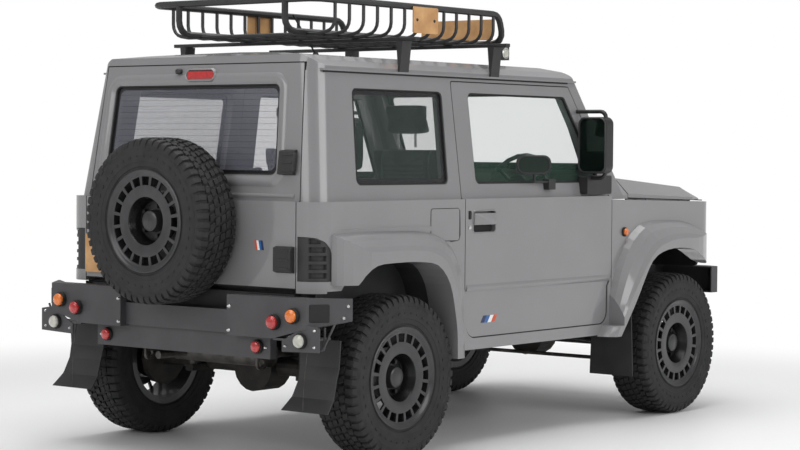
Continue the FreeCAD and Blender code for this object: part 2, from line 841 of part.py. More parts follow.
def tub():
    """Folded floor with a raised rear deck, firewall, inner sills and rear wheel housings in one pressing."""
    sheet = mm.sheet_thickness
    half = mm.body_half_width - mm.wall_thickness - mm.glass_clearance
    wall = mm.screen_base - mm.wall_thickness
    deck_front = mm.rear_axle + mm.tyre_radius * 1.3
    deck_back = mm.tail + mm.wall_thickness + mm.glass_clearance
    low, deck = mm.floor_height, mm.rear_floor_height
    top = mm.belt_height - mm.belt_step - mm.glass_clearance
    folds = [(wall, top), (wall, low), (deck_front, low), (deck_front - sheet * 2, deck), (deck_back, deck),
             (deck_back, deck + sheet), (deck_front - sheet, deck + sheet), (deck_front + sheet, low + sheet),
             (wall - sheet, low + sheet), (wall - sheet, top)]
    floor = slab("XZ", folds, -half, half)
    rear_member = slab("XZ", [(mm.tail + sheet, mm.tail_bottom - sheet * 5),
                              (mm.tail + sheet * 3.5, mm.tail_bottom - sheet * 5),
                              (mm.tail + sheet * 3.5, deck), (mm.tail + sheet, deck)],
                       -mm.tailgate_half_width + sheet, mm.tailgate_half_width - sheet)
    rear_lip = slab("XZ", [(mm.tail + sheet, deck), (deck_back + sheet, deck),
                           (deck_back + sheet, deck + sheet), (mm.tail + sheet, deck + sheet)],
                    -mm.tailgate_half_width + sheet, mm.tailgate_half_width - sheet)
    seal = slab("XZ", [(deck_back, deck), (deck_back + sheet / 2, deck),
                       (deck_back + sheet / 2, mm.tailgate_bottom + sheet),
                       (deck_back, mm.tailgate_bottom + sheet)], -mm.tailgate_half_width + sheet,
                mm.tailgate_half_width - sheet)
    corners = arch_outline("rear")
    inner = mm.half_track - mm.tyre_width / 2 - sheet * 1.5
    grown = []
    for index, (a, b) in enumerate(corners):
        side = sheet if a > mm.rear_axle else -sheet
        rise = sheet if index in range(2, len(corners) - 1) else 0
        grown.append((a + side, b + rise))
    house = slab("XZ", grown, -half, -inner + sheet)
    well = slab("XZ", corners, -half - sheet, -inner)
    above = slab("XZ", [(mm.tail, deck - sheet * 4), (deck_front, deck - sheet * 4), (deck_front, deck * 2),
                        (mm.tail, deck * 2)], -half, 0)
    house_cut = house.cut(well).common(above)
    floor = floor.cut(well).cut(mirror_shape(well))
    inside_tail = lower_form(mm.wall_thickness + mm.glass_clearance)
    house_cut = house_cut.common(inside_tail)
    return floor.fuse([rear_member, rear_lip, seal, house_cut, mirror_shape(house_cut)]).removeSplitter()


def cowl():
    """The closed panel between the bonnet and the foot of the windscreen, fitted round the screen pillars."""
    sections = []
    back = mm.screen_base - mm.wall_thickness
    front = mm.front_axle - mm.bonnet_rear_from_axle - mm.shut_gap
    low = mm.fender_top + mm.glass_clearance
    for station, lift in ((back, mm.sheet_thickness), (front, 0)):
        sections.append(bonnet_section(station, mm.bonnet_height + lift, low, 0))
    panel = Part.makeLoft(sections, True, True)
    cabin = upper_form(-mm.glass_clearance)
    seal = mm.rail_half_width - mm.wall_thickness * 1.6
    frame_foot = mm.screen_base_height + mm.wall_thickness - mm.glass_clearance
    between = slab("YZ", [(-seal, 0), (seal, 0), (seal, frame_foot), (-seal, frame_foot)], mm.rear_axle,
                   mm.nose)
    return panel.cut(cabin.cut(between))


def bonnet_section(station, height, low, narrow):
    """One cross-section of the bonnet: upright low edges, leaning sides and a crowned top."""
    base = mm.bonnet_half_width - narrow
    top = mm.bonnet_top_half_width - narrow
    crown = height + mm.bonnet_crown
    knee = low + (height - low) * 0.2
    points = [(-base, low), (base, low), (base, knee), (top, height), (top * 0.4, crown), (-top * 0.4, crown),
              (-top, height), (-base, knee)]
    return Part.makePolygon([point_on("YZ", a, b, station) for a, b in points + points[:1]])


def bonnet_edge(share):
    """Height of the bonnet's lower edge at a share of its length."""
    return mm.fender_top + mm.shut_gap * 1.3 - mm.fender_drop * share


def bonnet():
    """Raised bonnet, open below, with a rounded front edge."""
    back = mm.front_axle - mm.bonnet_rear_from_axle
    front = mm.front_axle + mm.bonnet_front_from_axle
    drop = mm.bonnet_drop
    thickness = mm.bonnet_thickness
    sections = []
    for share, down, narrow in ((0, 0, 0), (0.82, drop * 0.92, 0), (0.94, drop * 1.3, thickness * 0.8),
                                (1, drop * 1.9, thickness * 2)):
        station = back + (front - back) * share
        sections.append(bonnet_section(station, mm.bonnet_height - down, bonnet_edge(share), narrow))
    shell = Part.makeLoft(sections, True, True)
    base = mm.bonnet_half_width - thickness
    top = mm.bonnet_top_half_width - thickness
    hollows = []
    for share, down in ((0.04, 0), (0.91, drop * 1.25)):
        low = bonnet_edge(share)
        high = mm.bonnet_height - down - thickness
        points = [(-base, low - thickness), (base, low - thickness), (base, low + thickness * 0.3),
                  (top, high), (-top, high), (-base, low + thickness * 0.3)]
        station = back + (front - back) * share
        hollows.append(Part.makePolygon([point_on("YZ", a, b, station) for a, b in points + points[:1]]))
    return shell.cut(Part.makeLoft(hollows, True, True))


def fenders():
    """Front fenders: an outer wall, a flat top ledge under the bonnet's edge and a rounded front corner."""
    skin = mm.sheet_thickness
    back = mm.door_front + mm.shut_gap
    front = mm.nose
    top = mm.fender_top
    drop = mm.fender_drop
    low = mm.sill_bottom
    half = mm.body_half_width
    radius = mm.corner_radius

    def form(inset):
        plan = slab("XY", [(back, -half + inset), (front - inset, -half + inset), (front - inset, 0),
                           (back, 0)], low, top * 1.1, [0, radius * 1.2 - inset, 0, 0])
        profile = slab("XZ", [(back, low), (front, low), (front, top - drop - inset), (back, top - inset)],
                       -half, 0, [0, 0, mm.wall_thickness * 0.7 - inset, 0])
        return plan.common(profile)

    fender = form(0).cut(form(skin))
    ledge = mm.bonnet_half_width - mm.wall_thickness
    middle = slab("XY", [(back, -ledge), (front, -ledge), (front, 0), (back, 0)], 0, top * 1.2)
    fender = fender.cut(middle)
    below_front = slab("XZ", [(mm.front_axle, 0), (front + skin, 0), (front + skin, mm.front_bumper_top),
                              (mm.front_axle, mm.front_bumper_top)], -half, 0)
    fender = fender.cut(below_front).cut(arch_cutter("front", 0))
    scuttle = mm.screen_base - mm.wall_thickness + mm.glass_clearance
    inner = half - mm.wall_thickness + mm.glass_clearance
    fender = fender.cut(slab("XY", [(back - skin, -inner), (scuttle, -inner), (scuttle, 0),
                                    (back - skin, 0)], 0, top * 1.2))
    bonnet_length = mm.bonnet_front_from_axle + mm.bonnet_rear_from_axle
    rib_back = mm.front_axle - mm.bonnet_rear_from_axle + mm.wall_thickness
    rib_front = mm.front_axle + mm.bonnet_front_from_axle - mm.wall_thickness * 1.8
    upstand = slab("XZ", [(rib_back, top - skin / 2), (rib_front, top - drop - skin / 2),
                          (rib_front, top - drop * 0.95 + skin * 0.55), (rib_back, top + skin * 0.55)],
                   -ledge - skin / 2, -ledge)
    stops = [upstand]
    stop_shares = (0.25, 0.80)
    for share in stop_shares:
        station = mm.front_axle - mm.bonnet_rear_from_axle + bonnet_length * share
        height = skin * 1.5
        foot = Vector(station, mm.bonnet_thickness / 2 - mm.bonnet_half_width,
                      bonnet_edge(share) - mm.glass_clearance - height)
        stops.append(Part.makeCylinder(mm.kingpin_radius / 2, height, foot))
    return both_sides(fender.fuse(stops))


def grille():
    """Black front panel between the fenders: round lamp seats, tall slots and a plain surround."""
    skin = mm.sheet_thickness
    half = mm.bonnet_half_width - mm.wall_thickness - mm.glass_clearance
    low = mm.front_bumper_top - skin
    high = mm.fender_top - mm.fender_drop - skin / 4
    panel = slab("YZ", [(-half, low), (half, low), (half, high), (-half, high)], mm.nose - skin, mm.nose,
                 skin)
    middle = (low + high) / 2
    lamp = headlamp_centre()
    for side in (-1, 1):
        seat = Part.makeCylinder(headlamp_radius() + mm.glass_clearance, skin * 2,
                                 Vector(mm.nose - skin * 1.5, side * lamp, middle), Vector(1, 0, 0))
        panel = panel.cut(seat)
    slots = 6
    pitch = (lamp - headlamp_radius()) * 2 / (slots + 0.6)
    tall = (high - low) * 0.29
    for index in range(slots):
        centre = (index - (slots - 1) / 2) * pitch
        slot = slab("YZ", [(centre - pitch * 0.33, middle - tall), (centre + pitch * 0.33, middle - tall),
                           (centre + pitch * 0.33, middle + tall), (centre - pitch * 0.33, middle + tall)],
                    mm.nose - skin * 2, mm.nose + skin, pitch * 0.15)
        panel = panel.cut(slot)
    return panel


def headlamp_radius():
    return mm.rim_recess_radius * 0.85


def headlamp_centre():
    return mm.bonnet_half_width * 0.68


def headlamps():
    """Round lamps in the front panel, with a domed lens."""
    skin = mm.sheet_thickness
    low = mm.front_bumper_top - skin
    high = mm.fender_top - mm.fender_drop - skin / 4
    middle = (low + high) / 2
    radius = headlamp_radius()
    lamp = Part.makeCylinder(radius, skin * 1.4, Vector(mm.nose - skin * 1.2, -headlamp_centre(), middle),
                             Vector(1, 0, 0))
    return both_sides(lamp)


def flare(which):
    """One right-hand arch flare: a root on the body side, a bulging slope and a lip round the opening."""
    axle = float({"front": front_axle, "rear": rear_axle}[which])
    hub = mm.hub_height
    radius = mm.tyre_radius
    foot = {"front": 0.20, "rear": 0.16}[which]
    root_shares, lip_shares = {
        "front": ([(-1.86, foot), (-1.68, 0.44), (-1.46, 1.02), (-1.29, 1.32), (-1.11, 1.53), (-0.83, 1.70),
                   (-0.58, 1.75), (-0.11, 1.76), (0.36, 1.73), (0.76, 1.63), (1.10, 1.46), (1.50, 1.30)],
                  [(-1.74, foot), (-1.43, 0.62), (-1.12, 0.99), (-0.86, 1.26), (-0.64, 1.40), (-0.40, 1.46),
                   (-0.22, 1.49), (0.21, 1.50), (0.62, 1.45), (0.85, 1.40), (1.10, 1.33), (1.50, 1.22)]),
        "rear": ([(-1.44, 1.72), (-1.15, 1.74), (-0.89, 1.75), (-0.46, 1.76), (-0.03, 1.75), (0.42, 1.74),
                  (0.76, 1.71), (0.96, 1.65), (1.12, 1.55), (1.24, 1.38), (1.30, 1.15), (1.34, foot)],
                 [(-1.44, 1.50), (-1.20, 1.52), (-0.96, 1.53), (-0.54, 1.53), (-0.11, 1.53), (0.34, 1.51),
                  (0.57, 1.47), (0.76, 1.38), (0.88, 1.22), (0.97, 1.05), (1.08, 0.70), (1.12, foot)]),
    }[which]
    count = 26
    root = smooth_line(root_shares, count)
    lip = smooth_line(lip_shares, count)
    loops = []
    out_and_down_shares = [(-0.5, 0), (0, 0), (0.34, 0.14), (0.66, 0.38), (0.90, 0.74), (1, 1)]
    for out, down in out_and_down_shares:
        level = -mm.body_half_width - (mm.flare_half_width - mm.body_half_width) * out
        line = [(a + (c - a) * down, b + (d - b) * down) for (a, b), (c, d) in zip(root, lip)]
        points = [Vector(axle + a * radius, level, hub + b * radius) for a, b in line]
        low = hub + foot * radius
        if which == "front":
            points += [Vector(points[-1].x, level, low)]
        else:
            points += [Vector(points[0].x, level, low)]
        loops.append(Part.makePolygon(points + points[:1]))
    return Part.makeLoft(loops, True, True)


def flare_plan(which):
    """The flares seen from above: each turns in round the body's corner at its outer end."""
    half, outset = mm.body_half_width, mm.flare_half_width - mm.body_half_width
    radius = mm.tyre_radius
    shares = {"front": [(0.25, 1), (0.42, 0.97), (0.58, 0.90), (0.72, 0.74), (0.84, 0.52), (0.94, 0.26),
                        (1.03, -0.05), (1.12, -0.5)],
              "rear": [(-0.70, 1), (-0.84, 0.92), (-0.96, 0.76), (-1.06, 0.50), (-1.11, 0.26),
                       (-1.135, -0.05), (-1.15, -0.5)], }[which]
    axle = float({"front": front_axle, "rear": rear_axle}[which])
    line = [(axle + a * radius, -half - outset * b) for a, b in shares]
    far = axle - radius * 2.2 if which == "front" else axle + radius * 1.6
    inner = -half * 0.9
    return [(far, -half - outset * 1.1), (line[0][0], -half - outset * 1.1)] + line + [(line[-1][0], inner),
            (far, inner)]


def arch_flares():
    """Four body-coloured flares; the front pair stop short of the door's swing."""
    pieces = []
    for which in ("front", "rear"):
        solid = flare(which).cut(arch_cutter(which, 0))
        solid = solid.common(slab("XY", flare_plan(which), 0, mm.roof_height))
        if which == "front":
            keep_low = mm.door_bottom - mm.shut_gap * 2
            clear = mm.door_front - mm.shut_gap * 2
            block = slab("XZ", [(clear - mm.tyre_radius, keep_low), (clear, keep_low),
                                (clear, mm.belt_height), (clear - mm.tyre_radius, mm.belt_height)],
                         -mm.beyond_side, 0)
            solid = solid.cut(block)
        else:
            bottom = mm.hub_height + mm.tyre_radius * 1.15
            behind = slab("XZ", [(mm.rear_end, 0), (mm.rear_axle - mm.tyre_radius * 0.6, 0),
                                 (mm.rear_axle - mm.tyre_radius * 0.6, bottom), (mm.rear_end, bottom)],
                          -mm.beyond_side, 0)
            solid = solid.cut(behind)
        solid = solid.cut(body_block(which))
        pieces += [solid, mirror_shape(solid)]
    return Part.makeCompound(pieces)


def body_block(which):
    """The body up to its sides, with the rounded corner that the flare lies against."""
    half, radius = mm.body_half_width, mm.corner_radius
    if which == "rear":
        return lower_form(0)
    return slab("XY", [(mm.rear_axle, -half), (mm.nose, -half), (mm.nose, 0), (mm.rear_axle, 0)], 0,
                mm.roof_height, [0, radius * 1.2, 0, 0])


# Doors, right-hand shapes first.

def door():
    """One thick door: skin stepped in below the waist, window frame, a finger recess with its handle bar."""
    wall = mm.wall_thickness
    outline = side_prism(door_outline(0), door_radii(0))
    belt = mm.belt_height
    low_part = band(lower_form, 0, wall).common(outline)
    high_part = band(upper_form, 0, wall).common(outline).cut(
        slab("XZ", [(mm.screen_top - wall, belt), (mm.nose, belt), (mm.nose, mm.roof_height),
                    (mm.screen_top - wall, mm.roof_height)],
             -mm.rail_half_width + wall * 1.6, 0))
    panel = low_part.fuse(high_part)
    panel = panel.cut(side_prism(window_outline(0), size.window_radius))
    length, height = mm.handle_length, mm.handle_height
    back = mm.door_rear + wall
    low = mm.belt_height - wall - height
    half = mm.body_half_width
    skin = mm.sheet_thickness
    recess = slab("XZ", [(back, low), (back + length, low), (back + length, low + height),
                         (back, low + height)], -half - skin, -half + skin, skin)
    bar = slab("XZ", [(back, low + height * 0.35), (back + length, low + height * 0.35),
                      (back + length, low + height * 0.9), (back, low + height * 0.9)],
               -half - skin * 0.4, -half + skin * 0.4)
    step = slab("XZ", [(mm.door_rear - skin, mm.sill_bottom), (mm.door_front + skin, mm.sill_bottom),
                       (mm.door_front + skin, mm.door_waist), (mm.door_rear - skin, mm.door_waist)],
                -half - skin, -half + mm.glass_thickness)
    return panel.cut(recess).fuse(bar).cut(step).removeSplitter()


def door_glass():
    inset = mm.glass_inset
    gap = mm.glass_clearance
    return band(upper_form, inset, inset + mm.glass_thickness).common(
        side_prism(window_outline(gap), mm.window_radius - gap))


def door_mirror():
    """An upright mirror in a rounded housing, held by a tube from a foot on the door's front corner."""
    reach = mm.mirror_reach
    low = mm.mirror_bottom
    high = low + mm.mirror_height
    width = mm.mirror_width
    depth = mm.mirror_depth
    tube = mm.mirror_tube_radius
    station = mm.door_front - width * 1.45
    inner = reach - width
    housing = slab("YZ", [(-reach, low), (-inner, low), (-inner, high), (-reach, high)], station,
                   station + depth, depth * 0.6)
    pane = slab("YZ", [(-reach + tube, low + tube), (-inner - tube, low + tube), (-inner - tube, high - tube),
                       (-reach + tube, high - tube)], station - tube, station + tube * 0.4, depth * 0.5)
    housing = housing.cut(pane)
    glass = slab("YZ", [(-reach + tube * 1.2, low + tube * 1.2), (-inner - tube * 1.2, low + tube * 1.2),
                        (-inner - tube * 1.2, high - tube * 1.2), (-reach + tube * 1.2, high - tube * 1.2)],
                 station, station + tube * 0.5, depth * 0.45)
    foot_top = low - tube
    half = mm.waist_half_width
    foot = slab("XZ", [(station - tube, mm.belt_height + tube),
                       (mm.door_front - tube * 3, mm.belt_height + tube),
                       (mm.door_front - tube * 3, foot_top), (station - tube, foot_top)],
                -half - width * 0.25, -half + tube * 2, tube)
    behind = station + depth * 0.55
    outer = -reach + width * 0.16
    low_arm = low - tube * 2.2
    high_arm = high + tube * 2.6
    frame = tube_path([(behind, -half - tube, low_arm), (behind, outer, low_arm), (behind, outer, high_arm),
                       (behind, -half + width * 0.5, high_arm)], tube, tube * 3)
    return housing.fuse([glass, foot, frame]).cut(upper_form(-mm.glass_clearance / 2))


def aux_mirror():
    """A small convex mirror on a bent stalk below the right window."""
    width = mm.mirror_width / 2
    tube = mm.mirror_tube_radius * 0.6
    height = mm.mirror_width * 0.56
    station = mm.door_front - mm.mirror_width * 4.6
    half = mm.waist_half_width
    level = mm.window_sill + tube
    block = slab("XZ", [(station + width * 2.4, level - tube * 6), (station + width * 3.1, level - tube * 6),
                        (station + width * 3.1, level + tube * 2), (station + width * 2.4, level + tube * 2)],
                 -half - tube * 4, -half + tube * 4)
    stalk = tube_path([(station + width * 2.5, -half - tube * 2.6, level),
                       (station + width * 0.9, -half - tube * 4, level),
                       (station + tube, width * 0.85 - mm.mirror_reach, level + height * 0.7)], tube,
                      tube * 3)
    centre = Vector(station, width * 0.85 - mm.mirror_reach, level + height * 0.9)
    shell = slab("YZ", [(-width, -height / 2), (width, -height / 2), (width, height / 2),
                        (-width, height / 2)], -tube * 1.6, tube * 1.6, height * 0.4)
    shell.rotate(Vector(0, 0, 0), Vector(0, 0, 1), 38)
    shell.translate(centre)
    return block.cut(upper_form(-mm.glass_clearance / 2)).fuse([stalk, shell])


# Tailgate.

def gate_outline(grow):
    grow = float(grow)
    low_half = mm.tailgate_half_width + grow
    high_half = mm.tailgate_top_half_width + grow
    low, high = mm.tailgate_bottom - grow, mm.tailgate_top + grow
    belt = mm.belt_height
    return [(-low_half, low), (low_half, low), (low_half, belt), (high_half, high), (-high_half, high),
            (-low_half, belt)]


def rear_window_outline(shrink):
    shrink = float(shrink)
    left, right = mm.rear_window_left - shrink, -mm.rear_window_right + shrink
    low, high = mm.rear_window_bottom + shrink, mm.rear_window_top - shrink
    lean = mm.glass_inset
    return [(right, low), (left, low), (left - lean * 1.5, high), (right + lean * 1.5, high)]


def rear_layer(outer, inner):
    reach = mm.tail + mm.tail_lean + mm.tail_step + mm.wall_thickness * 1.4
    back = mm.tail - mm.wall_thickness
    slice_low = slab("YZ", gate_outline(0), back, mm.tail + mm.wall_thickness)
    slice_high = slab("YZ", gate_outline(0), back, reach)
    return band(lower_form, outer, inner).common(slice_low), band(upper_form, outer, inner).common(slice_high)


def tailgate():
    """Side-hinged rear door with an offset window and the carrier boss of the spare wheel."""
    low_part, high_part = rear_layer(0, size.wall_thickness)
    wall = mm.wall_thickness
    gate = low_part.fuse(high_part)
    gate = gate.cut(slab("YZ", rear_window_outline(0), mm.tail - wall, mm.tail + wall * 4,
                         size.window_radius))
    boss_radius = mm.spindle_radius * 2
    boss = Part.makeCylinder(boss_radius, spare_mount_length(), Vector(mm.tail, mm.spare_offset,
                             mm.spare_height), Vector(-1, 0, 0))
    return gate.fuse(boss).removeSplitter()


def spare_hub():
    """The middle plane of the spare wheel along X."""
    return mm.rear_end + mm.tyre_width / 2


def rim_back():
    """How far the rim's hub plate lies outboard of the wheel's middle plane."""
    return mm.rim_half_width * 0.88 - mm.rim_recess_depth - mm.sheet_thickness


def spare_mount_length():
    return mm.tail - spare_hub() + rim_back() - mm.running_clearance


def tailgate_glass():
    wall = mm.wall_thickness
    gap = mm.glass_clearance
    inset = mm.glass_inset
    layer = band(upper_form, inset, inset + mm.glass_thickness)
    return layer.common(slab("YZ", rear_window_outline(gap), mm.tail - wall, mm.tail + wall * 4,
                             mm.window_radius - gap))


def tailgate_fittings():
    """Two black hinge covers at the right edge and the small camera above the window."""
    skin = mm.sheet_thickness
    gate = mm.tailgate_half_width - mm.shut_gap
    covers = []
    low = mm.louvre_bottom + skin * 1.6
    for width, height, level, start in ((5.0, 5.5, low, mm.tail),
                                        (4.2, 5.3, mm.rear_window_bottom, mm.tail + mm.tail_step)):
        half = gate if level == low else gate - skin * 1.5
        slope = mm.tail_lean / (mm.tailgate_top - mm.belt_height)
        lift = max(level - mm.belt_height, 0) * slope
        shift = height * skin * slope if level != low else 0
        cover = slab("XZ", [(start + lift, level), (start + lift - skin, level + skin * 0.3),
                            (start + lift + shift - skin, level + height * skin - skin * 0.3),
                            (start + lift + shift, level + height * skin)], -half, -half + width * skin)
        covers.append(cover)
    return Part.makeCompound(covers)


def number_plate():
    """A blank plate at the left of the spare wheel."""
    width, height = mm.plate_width, mm.handle_length
    left = mm.tailgate_half_width - mm.shut_gap
    low = mm.tailgate_bottom + mm.sheet_thickness
    skin = mm.sheet_thickness
    return slab("YZ", [(left - width, low), (left, low), (left, low + height), (left - width, low + height)],
                mm.tail - skin * 0.6, mm.tail, skin / 4)


def high_brake_lamp():
    slope = mm.tail_lean / (mm.tailgate_top - mm.belt_height)
    half, tall = mm.handle_length * 0.45, mm.handle_height * 0.42
    middle = (mm.rear_window_top + mm.tailgate_top) / 2
    start = mm.tail + mm.tail_step + (middle - tall / 2 - mm.belt_height) * slope
    skin = mm.sheet_thickness
    return slab("XZ", [(start, middle - tall / 2), (start - skin / 2, middle - tall / 2 + skin / 5),
                       (start - skin / 2 + tall * slope, middle + tall / 2 - skin / 5),
                       (start + tall * slope, middle + tall / 2)], -half, half)


# Wheels.

def wheel_centre(which, side):
    axle = {"front": front_axle, "rear": rear_axle}[which]
    return Vector(float(axle), side * mm.half_track, mm.hub_height)


def tyre_shape():
    """A faceted carcass about the origin with two rows of shoulder lugs, half a pitch apart."""
    sides = SECTIONS["tyre_sides"]
    radius = mm.tyre_radius
    half = mm.tyre_width / 2
    bead = mm.bead_radius
    rim = mm.rim_radius
    tread = radius - mm.lug_depth
    seat = mm.rim_half_width * 0.88
    rise = tread - rim
    profile = [(bead, -seat), (rim + rise * 0.4, -half), (tread - rise * 0.12, -half * 0.94),
               (tread, -half * 0.76), (tread, half * 0.76), (tread - rise * 0.12, half * 0.94),
               (rim + rise * 0.4, half), (bead, seat)]
    carcass = facet_ring(profile, sides, Vector())
    lug_angle = math.pi / sides * 0.56
    root = tread - rise * 0.20
    near, far = half * 0.06, half * 0.90
    lugs = []
    for direction, phase in ((-1, 0.0), (1, 0.5)):
        across = root * math.tan(lug_angle)
        lug = slab("XY", [(-across, near), (across, near), (across, far), (-across, far)], root, radius)
        for index in range(sides):
            copy = lug.copy() if direction > 0 else lug.mirror(Vector(), Vector(0, 1, 0))
            copy.rotate(Vector(), Vector(0, 1, 0), 360 * (index + phase) / sides)
            lugs.append(copy)
    return carcass.fuse(lugs)


def rim_shape():
    """The right-hand rim about the origin: outer lip, slotted ring, deep centre recess, hub bore and cap."""
    sides = SECTIONS["rim_sides"]
    half = mm.rim_half_width
    rim = mm.rim_radius - mm.glass_clearance
    bead = mm.bead_radius - mm.glass_clearance
    recess = mm.rim_recess_radius
    slot_out = mm.slot_outer_radius
    bore = mm.spindle_radius + mm.running_clearance
    skin = mm.sheet_thickness / 2
    face = half * 0.88
    floor = face - mm.rim_recess_depth
    seat = half * 0.88 + mm.glass_clearance
    cap_top, cap_floor = floor + mm.rim_recess_depth * 0.62, floor + mm.rim_recess_depth * 0.4
    profile = [(rim, half), (slot_out, face), (recess, face), (recess * 0.86, floor),
               (mm.cap_radius, floor), (mm.cap_radius * 0.9, cap_top), (0, cap_top), (0, cap_floor),
               (bore, cap_floor), (bore, floor - skin * 2), (recess, floor - skin * 2),
               (recess * 1.12, face - skin), (slot_out - skin * 0.4, face - skin),
               (slot_out - skin * 0.4, -half), (rim, -half), (bead, -seat), (bead, seat)]
    disc = facet_ring([(radius, -level) for radius, level in profile], sides, Vector())
    slot = slab("XY", [(-mm.slot_width / 2, -face - skin), (mm.slot_width / 2, -face - skin),
                       (mm.slot_width / 2, skin * 2 - face), (-mm.slot_width / 2, skin * 2 - face)],
                mm.slot_inner_radius, slot_out - skin * 0.6)
    slots = []
    for index in range(sides):
        copy = slot.copy()
        copy.rotate(Vector(), Vector(0, 1, 0), 360 * index / sides)
        slots.append(copy)
    return disc.cut(slots)


def wheel_place(shape, which, side):
    """Carries a right-hand wheel piece from the origin to its hub, mirrored for the left side."""
    copy = on_side(shape.copy(), side)
    copy.translate(wheel_centre(which, side))
    return copy


def spare_place(shape):
    """Turns a right-hand wheel piece to face rearwards in the spare's place on the tailgate."""
    copy = shape.copy()
    copy.rotate(Vector(), Vector(0, 0, 1), -90)
    copy.translate(Vector(spare_hub(), mm.spare_offset, mm.spare_height))
    return copy


# Running gear.

def axle_beam(name, axle, diff_offset, direction, steered):
    """A live axle: tube, differential, spring and damper seats, and a yoke or a drum at each end."""
    reach = size.half_track - size.rim_half_width * 0.9
    if steered:
        reach = size.kingpin_half_width - size.kingpin_radius * 5
    tube = rod(name + "_tube", "y", (axle, -reach, hub_height), size.axle_tube_radius, reach * 2)
    case = size.diff_radius * 0.6
    pieces = [tube, rod(name + "_case", "x", (axle - case, diff_offset, hub_height), size.diff_radius,
                        case * 2, 18)]
    nose_length = size.diff_radius + size.drive_shaft_radius
    start = axle if direction > 0 else axle - nose_length
    pieces.append(rod(name + "_nose", "x", (start, diff_offset, hub_height), size.drive_shaft_radius * 1.6,
                      nose_length))
    pad_half = size.spring_radius + size.spindle_radius / 2
    for side, tag in ((-1, "right"), (1, "left")):
        middle = size.rail_half_spacing * side
        pieces.append(box(f"{name}_spring_seat_{tag}",
                          (axle - pad_half, middle - size.spring_radius, hub_height),
                          (axle + pad_half, middle + size.spring_radius,
                           hub_height + size.axle_tube_radius * 1.3)))
        arm = size.axle_tube_radius * 3.4
        low = axle - arm if direction > 0 else axle
        high = axle if direction > 0 else axle + arm
        pieces.append(box(f"{name}_damper_seat_{tag}",
                          (low, middle - size.damper_radius, hub_height - size.axle_tube_radius),
                          (high, middle + size.damper_radius, hub_height - size.axle_tube_radius / 4)))
        if steered:
            pieces += yoke(name, axle, side, tag)
        else:
            drum_start = size.half_track - size.rim_half_width * 0.95
            start_y = drum_start if side > 0 else -drum_start - size.spindle_radius
            pieces.append(rod(f"{name}_drum_{tag}", "y", (axle, start_y, hub_height), size.diff_radius * 1.15,
                              size.spindle_radius))
            spindle = size.rim_half_width * 0.95 + size.spindle_radius * 0.9
            start_y = drum_start if side > 0 else -drum_start - spindle
            pieces.append(rod(f"{name}_spindle_{tag}", "y", (axle, start_y, hub_height),
                              size.spindle_radius, spindle))
    return join(name, pieces)


def yoke(name, axle, side, tag):
    """The C-shaped end of the front axle that holds the knuckle's kingpins."""
    inner = size.kingpin_half_width - size.kingpin_radius * 5
    outer = size.kingpin_half_width + size.kingpin_radius * 1.6
    half = size.kingpin_radius * 2.4
    gap = size.kingpin_radius * 6
    thick = size.kingpin_radius * 1.4
    low, high = (inner, outer) if side > 0 else (-outer, -inner)
    web_low, web_high = (inner, inner + thick) if side > 0 else (-inner - thick, -inner)
    web = box(f"{name}_yoke_web_{tag}", (axle - half, web_low, hub_height - gap - thick),
              (axle + half, web_high, hub_height + gap + thick))
    pieces = [web]
    for level, word in ((-1, "low"), (1, "high")):
        base = hub_height + gap if level > 0 else hub_height - gap - thick
        ear = box(f"{name}_ear_{word}_{tag}", (axle - half, low, base), (axle + half, high, base + thick))
        hole = rod(f"{name}_eye_{word}_{tag}", "z", (axle, size.kingpin_half_width * side, base - thick),
                   size.kingpin_radius + size.running_clearance, thick * 3, 0)
        pieces.append(cut(f"{name}_ear_cut_{word}_{tag}", ear, hole))
    return pieces


def knuckle(side, tag):
    """Steering knuckle with kingpins, spindle, brake disc and a straight steering arm."""
    name = f"knuckle_{tag}"
    pin_y = size.kingpin_half_width * side
    half = size.kingpin_radius * 2
    gap = size.kingpin_radius * 6 - size.running_clearance
    thick = size.kingpin_radius * 1.4
    face = size.kingpin_half_width + size.kingpin_radius * 3
    low, high = (size.kingpin_half_width - half, face) if side > 0 else (-face,
            -size.kingpin_half_width + half)
    block = box(name + "_block", (front_axle - half, low, hub_height - gap),
                (front_axle + half, high, hub_height + gap))
    pins = rod(name + "_kingpins", "z", (front_axle, pin_y, hub_height - gap - thick), size.kingpin_radius,
               (gap + thick) * 2)
    disc_radius = size.diff_radius * 1.15
    disc_y = face if side > 0 else -face - size.kingpin_radius
    disc = rod(name + "_disc", "y", (front_axle, disc_y, hub_height), disc_radius, size.kingpin_radius)
    spindle_end = size.half_track + size.spindle_radius * 0.9 - size.running_clearance
    spindle_length = spindle_end - face
    spindle_y = face if side > 0 else -face - spindle_length
    spindle = rod(name + "_spindle", "y", (front_axle, spindle_y, hub_height), size.spindle_radius,
                  spindle_length)
    arm_half = size.kingpin_radius
    arm_low = hub_height - size.tie_rod_drop - size.tie_rod_radius
    eye_x = front_axle - size.steering_arm
    arm_top = arm_low + size.tie_rod_radius * 2
    arm = box(name + "_arm", (eye_x - arm_half, pin_y - arm_half, arm_top),
              (front_axle - size.kingpin_radius * 4, pin_y + arm_half, arm_top + arm_half))
    post = box(name + "_post", (front_axle - size.kingpin_radius * 6, pin_y - arm_half, arm_top),
               (front_axle - size.kingpin_radius * 4, pin_y + arm_half, hub_height))
    link = box(name + "_link", (front_axle - size.kingpin_radius * 6, pin_y - arm_half,
                                hub_height - arm_half), (front_axle - half, pin_y + arm_half, hub_height))
    pin = rod(name + "_ball_pin", "z", (eye_x, pin_y, arm_low), size.tie_rod_radius / 2,
              arm_top - arm_low + arm_half)
    return join(name, [block, pins, disc, spindle, arm, post, link, pin])


